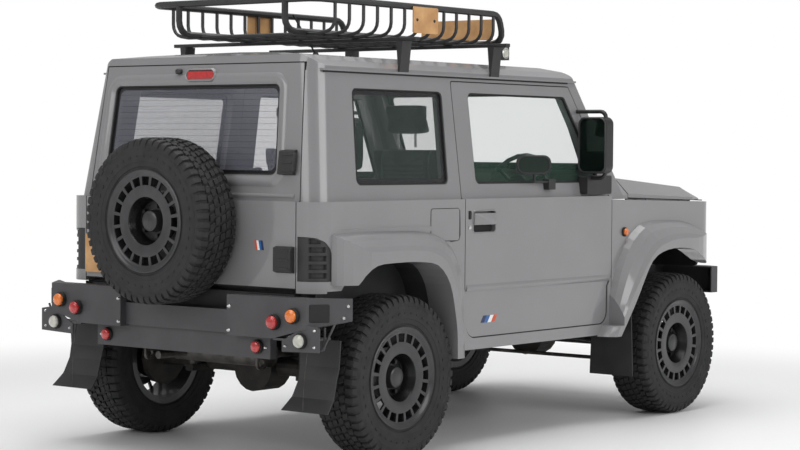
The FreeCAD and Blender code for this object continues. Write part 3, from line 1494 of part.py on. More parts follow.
def tie_rod():
    """The rod between both steering arms, an eye on each ball pin."""
    level = hub_height - size.tie_rod_drop
    eye_x = front_axle - size.steering_arm
    reach = size.kingpin_half_width
    bar = rod("tie_rod_bar", "y", (eye_x, -reach, level), size.tie_rod_radius * 0.8, reach * 2)
    pieces = [bar]
    low = level - size.tie_rod_radius
    height = size.tie_rod_radius * 2 - size.running_clearance
    for side, tag in ((-1, "right"), (1, "left")):
        pieces.append(rod(f"tie_rod_eye_{tag}", "z", (eye_x, reach * side, low), size.kingpin_radius, height))
    solid = join("tie_rod_solid", pieces)
    for side, tag in ((-1, "right"), (1, "left")):
        slack = size.running_clearance if side < 0 else size.running_clearance * 3
        hole = rod(f"tie_rod_hole_{tag}", "z", (eye_x, reach * side, low - size.tie_rod_radius),
                   size.tie_rod_radius / 2 + slack, size.tie_rod_radius * 4, 0)
        solid = cut(f"tie_rod_bored_{tag}", solid, hole)
    return solid


def ladder_frame():
    """Two kicked-up rails, round cross members, body mounts and the brackets of the axle arms."""
    middle = size.rail_middle_height
    kick = size.rail_kick
    depth = size.rail_depth
    reach = size.tyre_radius * 1.25
    back = tail + size.wall_thickness * 1.5
    front = nose - size.wall_thickness
    slope = size.rail_kick * 2
    bottom = [(back, middle + kick), (rear_axle + reach * 0.75, middle + kick),
              (rear_axle + reach * 0.75 + slope, middle), (front_axle - reach * 0.75 - slope, middle),
              (front_axle - reach * 0.75, middle + kick), (front, middle + kick)]
    thin = depth * 0.75
    top = [(front, middle + kick + thin), (front_axle - reach * 0.75, middle + kick + thin),
           (front_axle - reach * 0.75 - slope, middle + depth),
           (rear_axle + reach * 0.75 + slope, middle + depth),
           (rear_axle + reach * 0.75, middle + kick + thin), (back, middle + kick + thin)]
    inner = size.rail_half_spacing - size.rail_width / 2
    outer = size.rail_half_spacing + size.rail_width / 2
    left = pad("rail_left", "XZ", [bottom + top], inner, outer)
    right = mirrored("rail_right", left)
    pieces = [left, right]
    radius = size.axle_tube_radius * 0.65
    stations = [(back + radius * 2, kick + radius),
                (rear_axle + reach * 0.75 - radius * 2, kick + radius * 1.4),
                (door_rear + size.seat_depth, radius * 1.9), (front - radius * 2, kick + radius)]
    for index, (station, lift) in enumerate(stations, start=1):
        pieces.append(rod(f"cross_member_{index}", "y", (station, -inner, middle + lift), radius, inner * 2))
    arm_x = {"rear": rear_axle + size.rail_half_spacing * 1.5,
             "front": front_axle - size.rail_half_spacing * 1.5}
    for which, station in arm_x.items():
        for side, tag in ((-1, "right"), (1, "left")):
            y_low = size.rail_half_spacing * side - size.damper_radius
            pieces.append(box(f"arm_bracket_{which}_{tag}",
                              (station - radius, y_low, middle - size.rail_width),
                              (station + radius, y_low + size.damper_radius * 2, middle)))
    for station, word in ((rear_axle + reach * 1.9, "rear"), (front_axle - reach * 1.25, "front")):
        for side, tag in ((-1, "right"), (1, "left")):
            pieces.append(rod(f"body_mount_{word}_{tag}", "z",
                              (station, size.rail_half_spacing * side, middle + depth), radius,
                              size.floor_height - middle - depth))
    return join("ladder_frame", pieces)


def suspension():
    """Coil springs, dampers and trailing arms of both axles, at ride height."""
    pieces = []
    middle = size.rail_middle_height
    for which, axle, direction in (("rear", rear_axle, 1), ("front", front_axle, -1)):
        # the arms reach from the axle towards the middle of the frame
        seat_top = hub_height + size.axle_tube_radius * 1.3
        for side, tag in ((-1, "right"), (1, "left")):
            y = size.rail_half_spacing * side
            pieces.append(rod(f"spring_{which}_{tag}", "z", (axle, y, seat_top), size.spring_radius,
                              middle + size.rail_kick - seat_top))
            damper_x = axle - size.axle_tube_radius * 2.7 * direction
            damper_low = hub_height - size.axle_tube_radius / 4
            pieces.append(rod(f"damper_{which}_{tag}", "z", (damper_x, y, damper_low), size.damper_radius,
                              middle + size.rail_kick - damper_low))
    return pieces


def trailing_arms():
    """Four pressed arms from the axles to the frame's brackets."""
    pieces = []
    middle = size.rail_middle_height
    radius = size.axle_tube_radius * 0.65
    for which, axle, direction in (("rear", rear_axle, 1), ("front", front_axle, -1)):
        end = axle + size.rail_half_spacing * 1.5 * direction - radius * direction
        start = axle + (size.spring_radius + size.spindle_radius / 2 + size.running_clearance) * direction
        low, high = (start, end) if direction > 0 else (end, start)
        high_end = middle - size.axle_tube_radius / 2
        low_end = hub_height
        if direction > 0:
            corners = [(low, low_end - size.axle_tube_radius / 2), (high, high_end - size.axle_tube_radius),
                       (high, high_end), (low, low_end + size.axle_tube_radius / 2)]
        else:
            corners = [(low, high_end - size.axle_tube_radius), (high, low_end - size.axle_tube_radius / 2),
                       (high, low_end + size.axle_tube_radius / 2), (low, high_end)]
        inner = size.rail_half_spacing - size.damper_radius * 0.6
        outer = size.rail_half_spacing + size.damper_radius * 0.6
        left = pad(f"trailing_arm_{which}_left", "XZ", [corners], inner, outer)
        pieces += [left, mirrored(f"trailing_arm_{which}_right", left)]
    return pieces


def powertrain():
    """Engine, gearbox and transfer case as plain blocks, with both drive shafts."""
    rail_inner = size.rail_half_spacing - size.rail_width / 2
    engine_back = screen_base + size.spring_radius
    engine_low = frame_top - size.sheet_thickness
    engine = box("engine_block", (engine_back, -rail_inner * 0.8, engine_low),
                 (front_axle + size.tyre_radius * 0.6, rail_inner * 0.8,
                  size.fender_top - size.wall_thickness * 1.6))
    box_top = size.floor_height - size.sheet_thickness / 2
    gear = box("gearbox_block", (door_front - size.seat_depth, -size.diff_radius * 1.4,
                                 hub_height + size.drive_shaft_radius),
               (engine_back, size.diff_radius * 0.5, box_top))
    transfer_back = door_front - size.seat_depth - size.diff_radius * 2
    transfer = box("transfer_block", (transfer_back, -size.diff_radius * 0.6,
                                      hub_height - size.drive_shaft_radius * 1.6),
                   (door_front - size.seat_depth, size.diff_radius * 1.4, box_top))
    nose_length = size.diff_radius + size.drive_shaft_radius
    rear_start = rear_axle + nose_length
    rear_shaft = rod("rear_drive_shaft", "x", (rear_start, dim(0), hub_height), size.drive_shaft_radius,
                     transfer_back - rear_start)
    front_start = door_front - size.seat_depth
    front_shaft = rod("front_drive_shaft", "x", (front_start, size.front_diff_offset, hub_height),
                      size.drive_shaft_radius, front_axle - nose_length - front_start)
    saddle = box("gearbox_saddle", (engine_back - size.wall_thickness, -rail_inner,
                                    size.rail_middle_height + size.damper_radius),
                 (engine_back, rail_inner, size.rail_middle_height + size.wall_thickness))
    return join("powertrain", [engine, gear, transfer, rear_shaft, front_shaft, saddle])


def fuel_tank():
    inner = size.rail_half_spacing - size.rail_width / 2
    back = rear_axle + size.tyre_radius * 1.6
    length = size.seat_depth * 0.8
    low, high = hub_height + size.drive_shaft_radius * 1.5, size.floor_height
    tank = pad("fuel_tank_body", "XZ",
               [[(back, low), (back + length, low), (back + length, high), (back, high)]],
               -size.diff_radius, inner)
    return tank


def exhaust():
    """A straight pipe beside the tank, over the rear axle, to a silencer across the tail."""
    radius = mm.damper_radius
    lane = -mm.rail_half_spacing + mm.rail_width / 2 + radius * 3.4
    level = mm.hub_height + mm.axle_tube_radius + radius * 2
    front = mm.screen_base - mm.wall_thickness * 2
    silencer_x = mm.rear_axle - mm.tyre_radius * 0.72
    silencer_radius = radius * 2.5
    silencer_level = level
    pipe = Part.makeCylinder(radius, front - silencer_x, Vector(silencer_x, lane, level), Vector(1, 0, 0))
    half = mm.rail_half_spacing - mm.rail_width
    silencer = Part.makeCylinder(silencer_radius, half * 2, Vector(silencer_x, -half, silencer_level),
                                 Vector(0, 1, 0))
    tail_pipe = tube_path([(silencer_x, half * 0.7, silencer_level - silencer_radius * 0.3),
                           (mm.tail + radius, half * 0.7, silencer_level - silencer_radius * 0.3)],
                          radius * 0.8)
    inner = -mm.rail_half_spacing + mm.rail_width / 2
    hangers = []
    for station in (mm.rear_axle + mm.tyre_radius * 1.9, mm.front_axle - mm.tyre_radius * 2.0):
        hangers.append(Part.makeBox(radius, lane - inner, radius / 2,
                                    Vector(station, inner, level + radius / 2)))
    return pipe.fuse([silencer, tail_pipe] + hangers)


# Bumpers, lamps, flaps and hooks.

def rear_bumper():
    """Folded black steel: two wings with swept ends, a middle channel and a lower beam."""
    face = mm.rear_axle - mm.rear_bumper_from_axle
    half = mm.rear_bumper_half_width
    top = mm.rear_bumper_top
    plate = mm.rear_bumper_plate
    depth = mm.wall_thickness * 1.3
    inner = mm.tailgate_half_width * 0.51
    knee = mm.body_half_width * 1.02
    low = top - mm.handle_length
    end_low = top - mm.handle_length * 0.53
    notch = mm.tailgate_half_width * 0.92
    swept = mm.rear_bumper_sweep
    plan = [(face, -inner), (face, -knee), (face + swept, -half), (face + swept + plate, -half + plate),
            (face + depth, -knee + plate * 2), (face + depth, -inner)]
    wing = slab("XY", plan, low, top)
    plan_hollow = [(face + plate, -inner - plate), (face + plate, -knee + plate),
                   (face + depth + plate, -knee + depth), (face + depth * 2, -inner - plate)]
    wing = wing.cut(slab("XY", plan_hollow, low - plate, top - plate))
    below_end = slab("YZ", [(-half - plate, low - plate), (-notch, low - plate), (-notch, low),
                            (-half - plate, end_low)], face - plate, face + swept * 2)
    wing = wing.cut(below_end)
    channel_top = mm.spare_height - mm.tyre_radius - mm.shut_gap * 2
    channel = slab("XZ", [(face + depth * 0.45, low + plate), (face + depth * 1.05, low + plate),
                          (face + depth * 1.05, channel_top), (face + depth * 0.45, channel_top)], -inner,
                   inner)
    beam_half = notch * 0.9
    beam_top = low - plate * 2.5
    beam = slab("XZ", [(face + depth * 0.75, beam_top - depth * 1.1),
                       (face + depth * 1.3, beam_top - depth * 1.1), (face + depth * 1.3, low + plate),
                       (face + depth * 0.75, low + plate)], -beam_half, beam_half)
    post_back = mm.tail + mm.wall_thickness * 1.5
    rail_low = mm.rail_middle_height + mm.rail_kick
    pieces = [mirror_shape(wing), channel, beam]
    for side in (-1, 1):
        y = side * mm.rail_half_spacing
        width = mm.rail_width / 2 - plate
        pieces.append(slab("XY", [(face + depth * 0.9, y - width), (post_back, y - width),
                                  (post_back, y + width), (face + depth * 0.9, y + width)],
                           rail_low + plate, rail_low + mm.rail_depth * 0.5))
    bracket = slab("YZ", [(-half * 0.94, low - depth * 0.62), (-notch * 1.09, low - depth * 0.72),
                          (-notch * 1.09, low - depth * 0.1), (-knee, low + depth * 0.9),
                          (-half * 0.94, low + depth * 0.75)], face + plate / 2, face + plate * 1.5)
    flap_station = flap_place() + plate
    shelf = slab("XY", [(face + plate, -knee + plate), (flap_station, -knee + plate),
                        (flap_station, -notch), (face + plate, -notch)], low - plate, low + plate / 2)
    for piece in (bracket, shelf):
        pieces += [piece, mirror_shape(piece)]
    bumper = wing.fuse(pieces).removeSplitter()
    return bumper


def lamp_discs(places, radius, depth):
    """Round lamps facing rearwards, each place giving X of the mounting face, Y and Z."""
    discs = []
    for station, y, z in places:
        discs.append(Part.makeCylinder(float(radius), float(depth),
                                       Vector(float(station), float(y), float(z)), Vector(-1, 0, 0)))
    return discs


def bumper_face():
    return mm.rear_axle - mm.rear_bumper_from_axle


def red_lamps():
    """Round brake lamps on the bumper's wings and fog lamps on its lower beam."""
    radius = mm.lamp_radius
    face = bumper_face()
    depth = radius * 0.9
    top = mm.rear_bumper_top
    beam = face + mm.wall_thickness * 1.3 * 0.75
    y1, z1 = mm.tailgate_half_width * 0.945, top - mm.handle_length * 0.6
    y2, z2 = mm.tailgate_half_width * 0.72, top - mm.handle_length * 1.26
    places = [(face, -y1, z1), (face, y1, z1)]
    low_places = [(beam, -y2, z2), (beam, y2, z2)]
    return Part.makeCompound(lamp_discs(places, radius, depth) + lamp_discs(low_places, radius * 0.9,
            depth * 0.8))


def amber_lamps():
    radius = mm.lamp_radius
    face = bumper_face()
    y, z = mm.tailgate_half_width * 1.112, mm.rear_bumper_top - mm.handle_length * 0.42
    rear = lamp_discs([(face, -y, z), (face, y, z)], radius, radius * 0.9)
    half = mm.body_half_width
    station = mm.front_axle - mm.screen_base_from_axle
    level = mm.belt_height - mm.handle_length * 1.05
    side = Part.makeCylinder(radius * 0.65, radius * 0.5, Vector(station, -half, level), Vector(0, -1, 0))
    return Part.makeCompound(rear + [side, mirror_shape(side)])


def clear_lamps():
    """Reversing lamps on the small brackets that hang below the bumper's wings."""
    radius = mm.lamp_radius
    face = bumper_face()
    depth = mm.wall_thickness * 0.5
    plate = mm.rear_bumper_plate
    y, z = mm.body_half_width * 0.982, mm.rear_bumper_top - mm.handle_length * 1.01
    return Part.makeCompound(lamp_discs([(face + plate / 2, -y, z), (face + plate / 2, y, z)], radius,
                                        depth * 0.7))


def front_bumper():
    """A short straight steel bumper with folded ends, carried on the rails."""
    face = mm.front_end
    top = mm.front_bumper_top - mm.sheet_thickness * 1.2
    low = top - mm.front_bumper_height
    plate = mm.rear_bumper_plate
    half = mm.kingpin_half_width * 1.22
    depth = mm.handle_height
    outer = slab("XY", [(face - depth, -half), (face - depth * 0.35, -half), (face, -half + depth * 0.8),
                        (face, half - depth * 0.8), (face - depth * 0.35, half), (face - depth, half)], low,
                 top)
    hollow = slab("XY", [(face - depth * 1.1, -half + plate), (face - depth * 0.35, -half + plate),
                         (face - plate, -half + depth * 0.8), (face - plate, half - depth * 0.8),
                         (face - depth * 0.35, half - plate), (face - depth * 1.1, half - plate)],
                  low + plate, top - plate)
    bumper = outer.cut(hollow)
    stays = []
    rail_front = mm.nose - mm.wall_thickness
    rail_low = mm.rail_middle_height + mm.rail_kick
    for side in (-1, 1):
        y = side * mm.rail_half_spacing
        width = mm.rail_width / 2 - plate
        stays.append(slab("XY", [(rail_front, y - width), (face - plate / 2, y - width),
                                 (face - plate / 2, y + width), (rail_front, y + width)], low + plate / 2,
                          top - plate / 2))
    plain = []
    for side in (-1, 1):
        y = side * mm.rail_half_spacing
        width = mm.rail_width / 2 - plate
        plain.append(slab("XY", [(rail_front, y - width), (rail_front + plate, y - width),
                                 (rail_front + plate, y + width), (rail_front, y + width)], rail_low,
                          top - plate / 2))
    return bumper.fuse(stays + plain).removeSplitter()


def flap_place():
    """Where the rear flaps hang, just behind the tyres."""
    return mm.rear_axle - mm.tyre_radius * 1.18


def mud_flaps():
    """Four rubber flaps, the rear pair waisted and swept rearwards at the bottom."""
    plate = mm.rear_bumper_plate
    station = flap_place()
    low = mm.hub_height * 0.69
    top = mm.rear_bumper_top - mm.handle_length - mm.rear_bumper_plate - mm.glass_clearance
    inner, outer = mm.kingpin_half_width, mm.half_track + mm.rim_half_width
    rise = top - low
    run = mm.tyre_radius * 0.27
    side = [(station, top), (station, low + rise * 0.62), (station - run * 0.14, low + rise * 0.42),
            (station - run * 0.45, low + rise * 0.18), (station - run, low)]
    back = [(a + plate, b) for a, b in reversed(side)]
    sweep = slab("XZ", side + back, -outer - plate * 6, -inner + plate * 6)
    waist = (outer - inner) * 0.05
    width = [(low, -1.2), (low + rise * 0.08, -0.6), (low + rise * 0.22, 0.3), (low + rise * 0.42, 1),
             (low + rise * 0.70, 0.6), (top, 0)]
    edge = [(-outer + waist * b, a) for a, b in width]
    far = [(-inner - waist * b, a) for a, b in reversed(width)]
    plan = slab("YZ", edge + far, station - run * 2, station + plate * 10)
    rear = sweep.common(plan)
    front_station = mm.door_front + mm.wall_thickness * 1.5
    floor = mm.floor_height - mm.glass_clearance
    front = slab("YZ", [(-outer - plate * 2, low * 0.9), (-inner + plate * 2, low * 0.9), (-inner, floor),
                        (-outer, floor)], front_station, front_station + plate)
    tub_front = mm.screen_base - mm.wall_thickness
    hanger = slab("XZ", [(tub_front - plate * 4, floor - plate), (front_station, floor - plate),
                         (front_station, floor), (tub_front - plate * 4, floor)],
                  -mm.body_half_width + mm.wall_thickness * 1.2, -inner)
    front = front.fuse(hanger)
    return Part.makeCompound([rear, mirror_shape(rear), front, mirror_shape(front)])


def tow_eyes():
    """Two steel loops bolted under the frame's tail, their holes across the vehicle."""
    plate = mm.rear_bumper_plate * 2
    rail_low = mm.rail_middle_height + mm.rail_kick
    back = mm.tail + mm.wall_thickness * 1.5
    radius = mm.lamp_radius
    hole = radius * 0.62
    centre_z = rail_low - mm.rail_depth * 1.15
    inner = mm.rail_half_spacing
    outline = [(back, centre_z - radius), (back + radius * 2, centre_z - radius),
               (back + radius * 3.2, rail_low), (back, rail_low)]
    loop = slab("XZ", outline, -inner - plate / 2, -inner + plate / 2, [radius * 0.9, radius * 0.9, 0, 0])
    eye = Part.makeCylinder(hole, plate * 2, Vector(back + radius, -inner - plate, centre_z), Vector(0, 1, 0))
    return both_sides(loop.cut(eye))


# Roof rack.

def roof_bars():
    """Two crossbars on feet that stand in the roof's gutters."""
    bar = mm.basket_bar * 2
    half = mm.crossbar_half_length
    skin = mm.sheet_thickness
    low = basket_level() - mm.basket_bar * 0.75 - mm.glass_clearance - bar
    gutter = mm.rail_height + mm.wall_thickness * 0.16
    foot_half = mm.rail_half_width
    pieces = []
    for station in (mm.rear_axle + mm.crossbar_rear_from_axle,
                    mm.rear_axle + mm.crossbar_front_from_axle):
        beam = slab("XZ", [(station - bar, low), (station + bar, low), (station + bar, low + bar),
                           (station - bar, low + bar)], -half, half, bar * 0.2)
        foot = slab("YZ", [(-foot_half - mm.rain_gutter * 0.9, gutter),
                           (-foot_half - mm.glass_clearance, gutter), (-foot_half + skin * 0.6, low),
                           (-foot_half - skin * 1.2, low)], station - bar * 2, station + bar * 2)
        pieces.append(beam.fuse([foot, mirror_shape(foot)]))
    return Part.makeCompound(pieces)


def basket_ends():
    back = mm.rear_axle - mm.basket_rear_from_axle
    return back, back + mm.basket_length


def basket_level():
    """The middle line of the basket's floor bars."""
    return mm.basket_floor - mm.basket_bar / 2


def runner_level():
    """The middle line of the basket's thick tubes, flush with the slats below."""
    return basket_level() + mm.basket_tube_radius * math.cos(math.pi / 8) - mm.basket_bar * 0.75


def basket_place(shape):
    """The basket and what is fixed to it stand a little to the right of the roof's middle."""
    shape.translate(Vector(0, mm.basket_offset, 0))
    return shape


def roof_basket():
    """Tube basket: a top loop that falls at its front, curved side bars, slats and two thick runners."""
    tube = mm.basket_tube_radius
    bar = mm.basket_bar
    back, front = basket_ends()
    half = mm.basket_half_width
    top = mm.basket_top - tube
    floor = basket_level()
    flush = runner_level()
    bend = tube * 4
    nose_low = front - tube
    nose_high = nose_low - mm.basket_front_rake
    loop = tube_path([(nose_low, 0, flush), (nose_low, -half, flush), (nose_high, -half, top),
                      (back, -half, top), (back, 0, top)], tube, bend)
    runner = tube_path([(back, -mm.basket_runner_spacing, top), (back, -mm.basket_runner_spacing, flush),
                        (nose_low, -mm.basket_runner_spacing, flush)], tube, bend)
    pieces = [loop, mirror_shape(loop), runner, mirror_shape(runner)]
    first = back + mm.basket_first_bar
    count = int((nose_high - bend / 2 - first) / mm.basket_bar_gap) + 1
    inner = half * 0.80
    for index in range(count):
        station = first + mm.basket_bar_gap * index
        side = tube_path([(station, -half, top), (station, -half, floor + tube), (station, -inner, floor),
                          (station, 0, floor)], bar, mm.basket_runner_spacing / 5, sides=6)
        pieces += [side, mirror_shape(side)]
    slat_shares = (-0.7, -0.35, 0, 0.35, 0.7)
    for share in slat_shares:
        pieces.append(Part.makeBox(nose_low - first, bar * 2, bar * 1.5,
                                   Vector(first, half * share - bar, floor - bar * 0.75)))
    return basket_place(pieces[0].fuse(pieces[1:]))


def rack_boards():
    """Plain tan plates on both sides of the basket and a wooden board inside its right front corner."""
    tube = mm.basket_tube_radius
    front = basket_ends()[1]
    half = mm.basket_half_width
    floor = runner_level() + tube * math.cos(math.pi / 8) + mm.glass_clearance
    start = mm.rear_axle + mm.tan_plate_from_axle
    end = start + mm.tan_plate_width
    high = mm.basket_top - tube
    low = high - mm.tan_plate_height
    outer = -half - tube - mm.glass_clearance
    plate = slab("XZ", [(start, low), (end, low), (end, high), (start, high)], outer - mm.glass_thickness,
                 outer, tube / 2)
    left, right = -half + tube * 1.5 + mm.board_length, -half + tube * 1.5
    station = front - tube * 4.2 - mm.basket_front_rake / 2
    board = slab("YZ", [(right, floor), (left, floor), (left, floor + mm.board_height),
                        (right, floor + mm.board_height)], station, station + tube)
    return basket_place(Part.makeCompound([plate, mirror_shape(plate), board]))


def rack_lamps():
    """Square work lamps under the basket's front corners, their lenses facing outwards."""
    front = basket_ends()[1]
    half = mm.basket_half_width
    block = mm.handle_height * 0.66
    tube = mm.basket_tube_radius
    top = basket_level() - mm.basket_bar * 0.75 - mm.glass_clearance
    station = front - tube * 2
    lamp = slab("XZ", [(station, top - block), (station + block, top - block), (station + block, top),
                       (station, top)], -half, -half + block * 0.6)
    tab = slab("XZ", [(station, top - tube / 4), (station + tube * 2, top - tube / 4),
                      (station + tube * 2, top), (station, top)], -half, -half + tube * 5.5)
    return basket_place(both_sides(lamp.fuse(tab)))


def antenna():
    """A stubby aerial near the roof's rear edge, leaning rearwards."""
    radius = mm.basket_bar / 2
    station = mm.rear_axle + mm.quarter_window_front_from_axle * 0.78
    base = mm.roof_height
    foot = Part.makeCone(radius * 5, radius * 2.5, radius * 5, Vector(station, 0, base), Vector(0, 0, 1))
    mast = straight_bar((station, 0, base + radius * 3),
                        (station - mm.mirror_width, 0, base + mm.mirror_width * 1.15), radius)
    return foot.fuse(mast)


# Cabin.

def dashboard():
    """Padded board across the cabin with an instrument hood on the driver's side."""
    wall = mm.wall_thickness
    front = mm.screen_base - wall - mm.sheet_thickness - mm.glass_clearance
    half = mm.body_half_width - wall * 1.6
    top = mm.fender_top - wall * 0.1
    low = mm.fender_top - mm.dashboard_depth
    section = [(front, low), (front, top), (front - wall * 2.2, top + wall * 0.4),
               (front - wall * 3.4, top - wall * 0.6), (front - wall * 3.0, low + wall),
               (front - wall * 1.2, low)]
    board = slab("XZ", section, -half, half, mm.glass_inset)
    hood = slab("XZ", [(front - wall, top), (front - wall * 3.2, top - wall * 0.4),
                       (front - wall * 3.2, top + wall * 0.9), (front - wall * 1.6, top + wall * 0.7)],
                -mm.seat_offset - wall * 2.4, -mm.seat_offset + wall * 2.4)
    column = straight_bar(steering_hub() + steering_tilt() * (wall * 0.6 + mm.running_clearance),
                          steering_hub() + steering_tilt() * (wall * 3), wall * 0.45)
    return board.fuse([hood, column])


def steering_hub():
    station = mm.screen_base - mm.wall_thickness * 6.4
    return Vector(station, -mm.seat_offset, mm.steering_wheel_height)


def steering_tilt():
    """The column's direction, from the steering wheel forwards and down."""
    tilt = Vector(mm.wall_thickness * 4.4, 0, -mm.wall_thickness * 2.0)
    tilt.normalize()
    return tilt


def steering_wheel():
    """A ring with three spokes and a round pad, on the column."""
    hub = steering_hub()
    tilt = steering_tilt()
    radius = mm.steering_wheel_radius
    grip = mm.damper_radius * 0.6
    sides = SECTIONS["rim_sides"]
    inner = radius - grip * 2
    ring = facet_ring([(radius - grip, -grip), (radius, 0), (radius - grip, grip), (inner, 0)], sides,
                      Vector())
    centre_pad = facet_ring([(0, -grip), (radius * 0.32, -grip), (radius * 0.36, grip / 2), (0, grip / 2)],
                            sides, Vector())
    boss_end = mm.wall_thickness * 0.6
    boss = facet_ring([(0, 0), (radius * 0.2, 0), (radius * 0.2, boss_end), (0, boss_end)], sides, Vector())
    spokes = []
    for angle in (90, 210, 330):
        turn = math.radians(angle)
        tip = (math.sin(turn) * (radius - grip), 0, -math.cos(turn) * (radius - grip))
        spokes.append(tube_path([(0, 0, 0), tip], grip * 0.7, sides=6))
    wheel = ring.fuse([centre_pad, boss] + spokes)
    wheel.Placement = Placement(hub, Rotation(Vector(0, 1, 0), tilt))
    return wheel


def seats():
    """Two front seats with headrests and a rear bench, each on a plinth."""
    width, depth = mm.seat_width, mm.seat_depth
    height = mm.seat_height
    floor = mm.floor_height + mm.sheet_thickness
    pad_size = mm.wall_thickness
    back = mm.rear_axle + mm.seat_from_axle + pad_size
    y = mm.seat_offset
    seat_top = height
    profile = [(back + pad_size * 2, seat_top - pad_size * 2.2),
               (back + depth + pad_size, seat_top - pad_size * 2.4),
               (back + depth + pad_size, seat_top - pad_size * 0.6),
               (back + pad_size * 3.4, seat_top - pad_size * 0.9),
               (back + pad_size * 1.2, seat_top + pad_size * 9.2),
               (back - pad_size * 0.6, seat_top + pad_size * 9.2),
               (back + pad_size * 0.2, seat_top - pad_size)]
    front = slab("XZ", profile, -y - width / 2, -y + width / 2, pad_size * 0.5)
    plinth = slab("XZ", [(back + pad_size * 2.4, floor), (back + depth, floor),
                         (back + depth, seat_top - pad_size * 2),
                         (back + pad_size * 2.4, seat_top - pad_size * 2)], -y - width * 0.38,
                  -y + width * 0.38)
    head = slab("XZ", [(back - pad_size * 0.7, seat_top + pad_size * 8.8),
                       (back + pad_size * 1.1, seat_top + pad_size * 8.8),
                       (back + pad_size * 0.6, seat_top + pad_size * 12.4),
                       (back - pad_size * 0.9, seat_top + pad_size * 12.4)], -y - width * 0.28,
                -y + width * 0.28, pad_size * 0.6)
    driver = front.fuse([plinth, head]).removeSplitter()
    deck = mm.rear_floor_height + mm.sheet_thickness
    inner = mm.half_track - mm.tyre_width / 2 - mm.sheet_thickness * 2.6
    bench_back = mm.rear_axle + mm.tyre_radius * 0.1
    bench = slab("XZ", [(bench_back, deck), (bench_back + depth * 0.9, deck),
                        (bench_back + depth * 0.9, deck + pad_size * 3),
                        (bench_back + pad_size * 2, deck + pad_size * 3),
                        (bench_back + pad_size * 0.6, deck + pad_size * 10),
                        (bench_back - pad_size, deck + pad_size * 10)], -inner, inner,
                 [0, 0, pad_size / 2, pad_size / 2, pad_size / 2, pad_size / 2])
    return Part.makeCompound([driver, mirror_shape(driver), bench])


# Every sub-part, under the label it is written by.

keep("cabin_tub", shaped("cabin_tub_solid", tub()))
right_panel = side_panels()
keep("side_panel_right", shaped("side_panel_right_solid", right_panel))
keep("side_panel_left", mirrored("side_panel_left_solid", nodes["side_panel_right"]))
keep("roof_panel", shaped("roof_panel_solid", roof_panel()))
keep("windscreen_frame", shaped("windscreen_frame_solid", windscreen_frame()))
keep("fixed_glass", shaped("fixed_glass_panes", fixed_glass()))
keep("cowl_panel", shaped("cowl_panel_solid", cowl()))
keep("bonnet", shaped("bonnet_solid", bonnet()))
keep("front_fenders", shaped("front_fender_pair", fenders()))
keep("grille_panel", shaped("grille_panel_solid", grille()))
keep("headlamps", shaped("headlamp_pair", headlamps()))
keep("arch_flares", shaped("arch_flare_set", arch_flares()))
keep("corner_louvres", shaped("corner_louvre_pair", both_sides(corner_louvres())))

keep("door_right", shaped("door_right_solid", door()))
keep("door_left", mirrored("door_left_solid", nodes["door_right"]))
keep("door_glass_right", shaped("door_glass_right_pane", door_glass()))
keep("door_glass_left", mirrored("door_glass_left_pane", nodes["door_glass_right"]))
keep("mirror_right", shaped("mirror_right_set", Part.makeCompound([door_mirror(), aux_mirror()])))
keep("mirror_left", shaped("mirror_left_solid", mirror_shape(door_mirror())))

keep("tailgate", shaped("tailgate_solid", tailgate()))
keep("tailgate_glass", shaped("tailgate_glass_pane", tailgate_glass()))
keep("tailgate_fittings", shaped("tailgate_fitting_set", tailgate_fittings()))
keep("high_brake_lamp", shaped("high_brake_lamp_solid", high_brake_lamp()))
keep("number_plate", shaped("number_plate_solid", number_plate()))

right_rim, right_tyre = rim_shape(), tyre_shape()
for which in ("front", "rear"):
    for word, side in SIDES.items():
        tag = f"{which}_{word}"
        keep(f"rim_{tag}", shaped(f"rim_{tag}_solid", wheel_place(right_rim, which, side)))
        keep(f"tyre_{tag}", shaped(f"tyre_{tag}_solid", wheel_place(right_tyre, which, side)))
keep("spare_rim", shaped("spare_rim_solid", spare_place(right_rim)))
keep("spare_tyre", shaped("spare_tyre_solid", spare_place(right_tyre)))

keep("front_axle", axle_beam("front_axle_solid", front_axle, size.front_diff_offset, -1, True))
keep("rear_axle", axle_beam("rear_axle_solid", rear_axle, dim(0), 1, False))
keep("knuckle_right", knuckle(-1, "right"))
keep("knuckle_left", knuckle(1, "left"))
keep("tie_rod", tie_rod())
keep("ladder_frame", ladder_frame())
keep("suspension", group("suspension_set", suspension() + trailing_arms()))
keep("powertrain", powertrain())
keep("fuel_tank", fuel_tank())
keep("exhaust", shaped("exhaust_solid", exhaust()))

keep("rear_bumper", shaped("rear_bumper_solid", rear_bumper()))
keep("front_bumper", shaped("front_bumper_solid", front_bumper()))
keep("red_lamps", shaped("red_lamp_set", red_lamps()))
keep("amber_lamps", shaped("amber_lamp_set", amber_lamps()))
keep("clear_lamps", shaped("clear_lamp_pair", clear_lamps()))
keep("mud_flaps", shaped("mud_flap_set", mud_flaps()))
keep("tow_eyes", shaped("tow_eye_pair", tow_eyes()))

keep("roof_bars", shaped("roof_bar_pair", roof_bars()))
keep("roof_basket", shaped("roof_basket_solid", roof_basket()))
keep("rack_boards", shaped("rack_board_set", rack_boards()))
keep("rack_lamps", shaped("rack_lamp_pair", rack_lamps()))
keep("antenna", shaped("antenna_solid", antenna()))

keep("dashboard", shaped("dashboard_solid", dashboard()))
keep("steering_wheel", shaped("steering_wheel_solid", steering_wheel()))
keep("seats", shaped("seat_set", seats()))

doc.recompute()
os.makedirs("parts", exist_ok=True)
faults = [item.Label for item in doc.Objects if "Invalid" in item.State or "Error" in item.State]
faults += [label for label, item in nodes.items() if item.Shape.isNull() or not item.Shape.isValid()]
if faults:
    raise RuntimeError("broken shapes: " + ", ".join(faults))
for label, item in nodes.items():
    item.Shape.exportStep(os.path.join("parts", label + ".step"))
